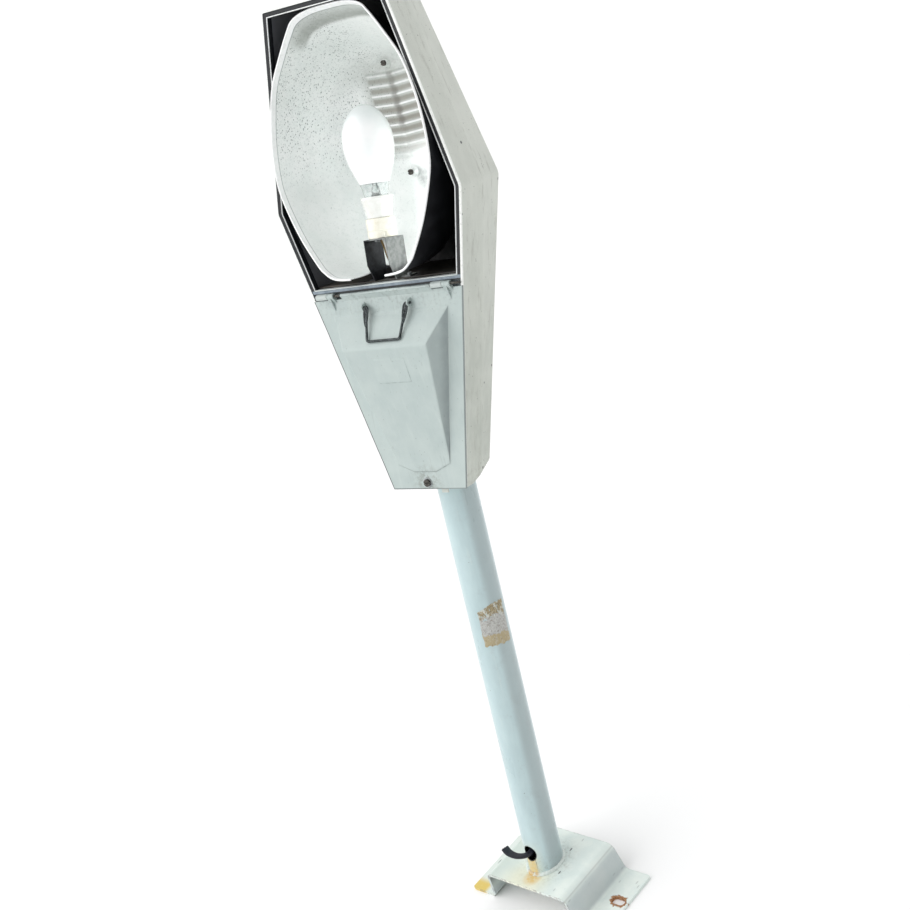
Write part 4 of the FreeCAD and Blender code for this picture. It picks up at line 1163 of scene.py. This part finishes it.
def bowl_point(x, z, y, share):
    up = share
    if z > BOWL_MID:
        edge = min(y, wall_depth(WALL_END))
        up = lookup(TOP_SCALE, edge) * min(share / WALL_END, 1.0)
    dz = (z - BOWL_MID) * up
    return Vector((x * share, y - lookup(LEAN, y) * dz, BOWL_MID + dz))


def rib_height(x, z):
    """Pressed ribs in two shallow fans that meet on the centre line."""
    fade = 1.0 - step_up(abs(x), 41.0, 47.0)
    slant = z - RIB_SLANT * abs(x) / RIB_REACH
    fade *= step_up(slant, -30.0, -24.0) * (1.0 - step_up(slant, 99.0, 103.0))
    wave = 0.5 + 0.5 * math.cos(2.0 * math.pi * (slant - RIB_CREST) / RIB_PITCH)
    fold = 1.0 - 0.7 * (1.0 - step_up(abs(x), 0.0, 5.0))
    return 4.0 * fade * fold * wave ** 1.8


def build_reflector():
    loop = rim_loop(360)
    rows = []
    steep = wall_depth(WALL_END)
    depths = [mixed(RIM_Y, CREASE_Y, i / 14) for i in range(14)]
    depths += [mixed(CREASE_Y, steep, 1.0 - (1.0 - i / 46) ** 1.4) for i in range(47)]
    for y in depths:
        rows.append([bowl_point(x, z, y, wall_scale(y)) for x, z in loop])
    for i in range(1, 84):
        share = WALL_END * (1.0 - i / 84)
        y = wall_depth(share)
        row = []
        for x, z in loop:
            q = bowl_point(x, z, y, share)
            q.y -= rib_height(q.x, q.z)
            row.append(q)
        rows.append(row)
    shape = Shape()
    shape.grid(rows, wrap=True)
    shape.add([rows[-1][i] for i in range(len(loop))], [list(range(len(loop)))])
    obj = make_object("reflector_bowl", shape, OPTIC)
    with editing(obj.data) as work:
        for point, normal in (((SLOT_HALF, 0, 0), (1, 0, 0)), ((-SLOT_HALF, 0, 0), (1, 0, 0)),
                              ((0, SLOT_BACK, 0), (0, 1, 0))):
            bmesh.ops.bisect_plane(work, geom=work.verts[:] + work.edges[:] + work.faces[:],
                                   plane_co=Vector(point) * MM, plane_no=normal)
        centres = [(f, f.calc_center_median() / MM) for f in work.faces]
        gone = [f for f, c in centres if abs(c.x) < SLOT_HALF and c.y < SLOT_BACK and c.z < SLOT_TOP]
        bmesh.ops.delete(work, geom=gone, context="FACES")
    face_way(obj, max(obj.data.polygons, key=lambda p: p.center.y), (0, -1, 0))
    coat(obj, METAL, DULL)
    thicken(obj, REFLECTOR_SHEET, even=False, inner=1)
    shade(obj, 60.0)
    register(obj, "lamp_body", ("reflector",))

    bead = Shape()
    around = [p for p in rim_loop(360) if abs(p[0]) >= SLOT_HALF or p[1] >= SLOT_TOP]
    start = next(i for i in range(len(around))
                 if (around[i] - around[i - 1]).length > 20.0)
    around = around[start:] + around[:start]
    rings = []
    for i, p in enumerate(around):
        ahead = heading(around, i)
        out = Vector((ahead.y, -ahead.x)).normalized()
        if out.dot(p - Vector((0, BOWL_MID))) < 0:
            out = -out
        ring = []
        for a in angles(10):
            r = p + out * (1.2 + 1.7 * math.cos(a))
            ring.append(Vector((r.x, RIM_Y + 0.4 + 1.9 * math.sin(a), r.y)))
        rings.append(ring)
    bead.tube(rings)
    piece("reflector_rim", bead, OPTIC, [METAL])

    seats = Shape()
    for w, depth in SEATS:
        rings = []
        for r, d in ((2.3, depth - 4.6), (5.4, depth - 4.6), (6.2, depth - 4.0),
                     (6.8, depth - 1.5), (9.0, depth + 1.6)):
            rings.append(head_circle(r, d, w, 40))
        seats.grid(rings, wrap=True)
    piece("reflector_seats", seats, HEAD, [METAL], sheet=0.8)


# ---------------------------------------------------------------- lamp and lampholder
def build_lamp():
    outside = ((13.0, -89.0), (14.6, -82.0), (17.6, -74.0), (19.4, -65.0), (22.3, -55.0),
               (28.5, -40.0), (34.5, -22.0), (37.5, 0.0), (35.4, 20.0), (27.6, 38.0),
               (14.5, 51.5), (0.0, 56.0))
    line = smooth_line([(r, z, 0) for r, z in outside], 8)
    profile = [(max(p[0], 0.0), p[1]) for p in line]
    profile[-1] = (0.0, 56.0)
    marks = [0 if z > -56.5 else 1 for _, z in profile]
    shape = Shape()
    shape.lathe(profile, 96, marks=marks)
    piece("lamp_bulb", shape, OPTIC, [lamp_white(), clear_glass()], body="bulb",
          nodes=("lamp_envelope",), sheet=0.8, angle=60.0)

    stem = Shape()
    stem.lathe(((0, -84), (9.5, -84), (9.0, -78), (6.5, -72), (5.6, -64), (4.2, -60), (0, -59)),
               40)
    piece("lamp_stem", stem, OPTIC, [clear_glass()], body="bulb")
    inner = Shape()
    inner.lathe(((0, -26), (3, -26), (6.0, -23), (9.0, -18), (9.2, 0), (9.0, 18), (6.0, 23),
                 (3, 26), (0, 26)), 40, mark=1)
    for x, y, low, high, r in ((3.6, 0, -66, -27, 0.7), (-3.6, 0, -66, 30, 0.7),
                               (0, 3.4, -64, -40, 0.5)):
        inner.rod((x, y, low), (x, y, high), r, 12)
    inner.rod((-3.6, 0, 30), (0, 0, 26), 0.7, 12)
    inner.rod((3.6, 0, -27), (0, 0, -26), 0.7, 12)
    inner.rod((0, 3.4, -40), (3.2, 0.4, -34), 0.5, 12)
    piece("lamp_burner", inner, OPTIC, [ZINC, clear_glass()], body="bulb",
          nodes=("lamp_arc_tube",))

    cap = Shape()
    thread = [(13.15 - 0.7 * (0.5 + 0.5 * math.cos(2 * math.pi * (z + 108) / 4.2)), z)
              for z in (-108.0 + 0.6 * i for i in range(28))]
    cap.lathe([(0, -115), (4.4, -115), (5.4, -112.9), (10.8, -110.4)] + thread
              + [(13.0, -90.2), (13.4, -89.2), (0, -89.1)], 64)
    piece("lamp_screw_cap", cap, OPTIC, [LAMP_CAP], body="bulb",
          nodes=("lamp_cap",))

    skirt = Shape()
    skirt.lathe([(14.6, -105.8), (18.2, -105.8), (19.0, -105.2), (19.9, -99.0), (22.0, -88.0),
                 (23.2, -80.5), (23.6, -79.5), (24.2, -78.6), (24.2, -76.2), (23.4, -75.1),
                 (22.2, -75.0), (21.4, -75.6), (20.6, -78.0), (14.6, -90.0), (14.6, -105.8)], 96)
    piece("lampholder_skirt_body", skirt, OPTIC, [GLAZED],
          nodes=("lampholder_skirt",), angle=30.0)

    base = Shape()
    base.lathe([(0, -135), (19.6, -135), (20.6, -134.6), (21.4, -133.6), (21.6, -125.0),
                (20.9, -124.3), (20.9, -123.2), (21.6, -122.5), (21.6, -108.0), (21.2, -106.6),
                (20.4, -106.0), (14.6, -106), (14.6, -119), (0, -119)], 96)
    obj = piece("lampholder_base_body", base, OPTIC, [CREAM],
                nodes=("lampholder_base",), angle=30.0)
    notch = Shape()
    for side in (-1, 1):
        notch.rod((side * 13, 0, -140), (side * 13, 0, -124), 2.2, 24)
    for a in (0.6, 2.5, 3.9, 5.6):
        notch.rod((23.4 * math.cos(a), 23.4 * math.sin(a), -136),
                  (23.4 * math.cos(a), 23.4 * math.sin(a), -126), 3.2, 20)
    cut(obj, notch, OPTIC)
    shade(obj, 30.0)


def build_wires():
    for index, mat in enumerate(WIRES):
        off = -5.4 + 3.6 * index
        low = -18 + 12 * index
        sway = (1.5, -2.2, 2.6, -1.2)[index]
        points = [hd(low, 96, 158.8), hd(low, 95, 162), hd(off * 1.3, 72, 170),
                  hd(off * 1.1, 52, 196), hd(off, 46, 270), hd(off * 1.3, 42, 318),
                  hd(off * 1.6 + sway, 32, 346), hd(off * 1.1, 26, 368), hd(off * 1.1, 24, 374.5)]
        curve = bpy.data.curves.new("lamp_lead_%d" % (index + 1), "CURVE")
        curve.dimensions = "3D"
        curve.bevel_depth = 1.6 * MM
        curve.bevel_resolution = 4
        curve.use_fill_caps = True
        line = curve.splines.new("BEZIER")
        line.bezier_points.add(len(points) - 1)
        for knot, p in zip(line.bezier_points, points):
            knot.co = p * MM
            knot.handle_left_type = knot.handle_right_type = "AUTO"
        line.resolution_u = 12
        curve.materials.append(mat)
        obj = bpy.data.objects.new(curve.name, curve)
        scene.collection.objects.link(obj)
        obj.matrix_world = HEAD
        register(obj, "lamp_body",
                 ("lamp_wire_%d" % (index + 1),))


# ---------------------------------------------------------------- arm
def build_weld():
    stretch = 1.0 / math.cos(math.radians(TUBE_LEAN))
    rings = []
    count = 220
    for i in range(count + 1):
        a = 2 * math.pi * i / count
        ripple = 0.12 * math.sin(a * 46.0)
        ripple += 0.5 * noise.noise(Vector((math.cos(a), math.sin(a), 1)) * 5)
        out = Vector((math.cos(a), math.sin(a) * stretch, 0))
        centre = Vector((0, TUBE_FOOT_Y, PLATE_TOP)) + out * (TUBE_R - 0.6)
        ring = []
        for k in range(14):
            b = math.pi * (k / 13) * 0.62 - 0.2
            r = 4.6 + ripple
            ring.append(centre + out * (r * math.cos(b)) + Vector((0, 0, r * math.sin(b))))
        ring.append(centre + Vector((0, 0, -0.6)))
        rings.append(ring)
    shape = Shape()
    shape.grid(rings, wrap=True)
    piece("weld_fillet", shape, ROW, [weld_paint()], nodes=("weld_bead",),
          angle=60.0)


def build_label():
    shape = Shape()
    rows = []
    for i in range(75):
        z = 396.0 + i
        row = []
        for j in range(96):
            a = math.radians(-72.0 + j)
            r = TUBE_R + 0.22 + 0.10 * noise.noise(Vector((a * 12, z * 0.2, 0)))
            row.append(Vector((r * math.cos(a), r * math.sin(a), z)))
        rows.append(row)
    points = [p for row in rows for p in row]
    faces = []
    for i in range(74):
        for j in range(95):
            edge = min(i, 73 - i, j, 94 - j)
            ragged = 2.2 + 2.6 * noise.noise(Vector((j * 0.09, i * 0.09, 4.0)))
            hole = noise.noise(Vector((j * 0.16, i * 0.16, 9.0))) > 0.42 and 44 < i < 70
            torn = i > 73 - 13.0 * max(1.0 - j / 60, 0.0)
            if edge < ragged or torn or hole:
                continue
            faces.append((i * 96 + j, i * 96 + j + 1, (i + 1) * 96 + j + 1, (i + 1) * 96 + j))
    shape.add(points, faces)
    obj = piece("worn_label", shape, TUBE, [label_paper()],
                nodes=("tube_label",), angle=60.0)
    with editing(obj.data) as work:
        bmesh.ops.delete(work, geom=[v for v in work.verts if not v.link_faces], context="VERTS")


def flat_ring(centre, wide_dir, thin_dir, wide, thin):
    """Outline of a flat cable with round edges, from its half width and half thickness."""
    ring = []
    flat = wide - thin
    for sign in (1, -1):
        for k in range(9):
            a = math.pi * (k / 8 - 0.5)
            ring.append(centre + wide_dir * sign * (flat + thin * math.cos(a))
                        + thin_dir * sign * thin * math.sin(a))
    return ring


def build_cable():
    at = CABLE_HOLE_AT
    high = TUBE_FREE + 118.0
    points = [(-34, -50, at + 13), (-26, -50, at + 6), (-14, -46, at + 1), (-3, -38, at),
              (0, -28, at + 1), (0, -19, at + 7), (0, -12, at + 22), (0, -5, at + 62),
              (0, 0, at + 180), (0, 0, 400), (0, 0, high - 40), (0, 4, high - 10),
              (0, 14, high + 6), (0, 20.5, high + 16)]
    line = smooth_line(points, 10)
    wide_dir = Vector((0, 1, 0))
    rings = []
    for i, p in enumerate(line):
        along = heading(line, i).normalized()
        wide_dir = (wide_dir - along * wide_dir.dot(along)).normalized()
        thin_dir = along.cross(wide_dir)
        flat = 1.0 - step_up(i, 4.0, 30.0)
        rings.append(flat_ring(p, wide_dir, thin_dir, 5.2 + 2.2 * flat, 3.1 - 1.3 * flat))
        if i == 0:
            end_frame = (p, wide_dir.copy(), thin_dir.copy(), along.copy())
    shape = Shape()
    shape.tube(rings)
    piece("supply_cable_sheath", shape, TUBE, [CABLE], nodes=("supply_cable",),
          bevel=0.25, angle=50.0)
    cores = Shape()
    p, wide_dir, thin_dir, along = end_frame
    for k in (-1, 0, 1):
        centre = p + wide_dir * (k * 4.2)
        cores.rod(centre + along * 2, centre - along * 0.7, 1.15, 16)
        cores.rod(centre + along * 2, centre - along * 0.9, 0.7, 12, mark=1)
    piece("supply_cable_cores", cores, TUBE, [WIRES[3], COPPER])


build_housing()
build_channel()
build_cover()
build_bail()
build_reflector()
build_lamp()
build_wires()
build_weld()
build_label()
build_cable()

for names, mat, bevel in (
        (("arm_tube",), tube_paint(), 0.5),
        (("mounting_bracket",), bracket_paint(), 0.8),
        (("crossbar",), BAR, 0.4),
        (("rim_gasket",), RUBBER, 0.8),
        (("hinge_pin_left", "hinge_pin_right", "cover_screw", "reflector_screw_lower",
          "reflector_screw_upper"), DARK_STEEL, 0.3),
        (("lampholder_bracket",), holder_steel(), 0.35),
        (("gear_tray", "capacitor_clip", "clamp_strap"), ZINC, 0.35),
        (("bracket_foot_screw_left", "bracket_foot_screw_right", "lampholder_screw_left",
          "lampholder_screw_right", "cover_screw_washer"), ZINC, 0.25),
        (("clamp_bolt_left", "clamp_bolt_right"), ZINC, 0.5),
        (("clamp_saddle", "capacitor"), CAN, 0.4),
        (("partition_plate",), PARTITION, 0.3),
        (("ballast_core",), laminated(), 0.4),
        (("ballast_winding_lower", "ballast_winding_upper"), wound(), 0.5),
        (("terminal_block",), TERMINAL, 0.5),
        (("terminal_screw_1", "terminal_screw_2", "terminal_screw_3", "terminal_screw_4",
          "lampholder_shell", "lampholder_contact"), BRASS, 0.2)):
    for name in names:
        dress(name, mat, bevel)

# ---------------------------------------------------------------- floor, light and camera
FLOOR_LINES = (-90000, -5000, 0, 5000, 90000)
floor_shape = Shape()
floor_shape.grid([[(x, y, 0.0) for x in FLOOR_LINES] for y in FLOOR_LINES])
floor = make_object("floor", floor_shape, ROW)
face_way(floor, floor.data.polygons[0], (0, 0, 1))
ground = Finish("floor_white")
ground.paint = ground.mix(ground.noise(900, 2).up(0.3, 0.7), "fafafa", "f6f6f6")
coat(floor, ground.done(0.9))

world = bpy.data.worlds.new("studio")
world.use_nodes = True
sky = world.node_tree
backdrop = sky.nodes["Background"]
backdrop.inputs["Strength"].default_value = 1.0
direction = sky.nodes.new("ShaderNodeTexCoord").outputs["Generated"]


def sky_level(toward, low, high, start, end):
    """A smooth level that follows how far a direction points the given way."""
    dot = sky.nodes.new("ShaderNodeVectorMath")
    dot.operation = "DOT_PRODUCT"
    sky.links.new(direction, dot.inputs[0])
    dot.inputs[1].default_value = Vector(toward).normalized()
    level = smooth_range(sky, low, high, start, end)
    sky.links.new(dot.outputs["Value"], level.inputs["Value"])
    return level.outputs[0]


product = sky.nodes.new("ShaderNodeMath")
product.operation = "MULTIPLY"
sky.links.new(sky_level((0, 0, 1), 0.1, 0.6, 1.0, 0.78), product.inputs[0])
sky.links.new(sky_level((0.92, -0.38, 0.1), 0.35, 0.97, 1.0, 0.45), product.inputs[1])
sky.links.new(product.outputs[0], backdrop.inputs["Color"])
scene.world = world

sun = bpy.data.lights.new("soft_key", "SUN")
sun.energy = 1.1
sun.angle = math.radians(75.0)
key = bpy.data.objects.new("soft_key", sun)
scene.collection.objects.link(key)
key.rotation_euler = Vector((0.50, 0.66, -0.75)).to_track_quat("-Z", "Y").to_euler()

scene.view_settings.view_transform = "Standard"
scene.view_settings.look = "None"
scene.view_settings.exposure = 0.22
camera = bpy.data.cameras.new("camera")
camera.lens = 60.84
camera.sensor_width = 36.0
camera.shift_x = -0.0262
camera.shift_y = 0.0020
camera.clip_start = 0.05
camera.clip_end = 60.0
eye = bpy.data.objects.new("camera", camera)
scene.collection.objects.link(eye)
eye.location = (1.7464, -1.1012, 1.6488)
eye.rotation_euler = [math.radians(a) for a in (64.608, 22.379, 42.801)]
scene.camera = eye
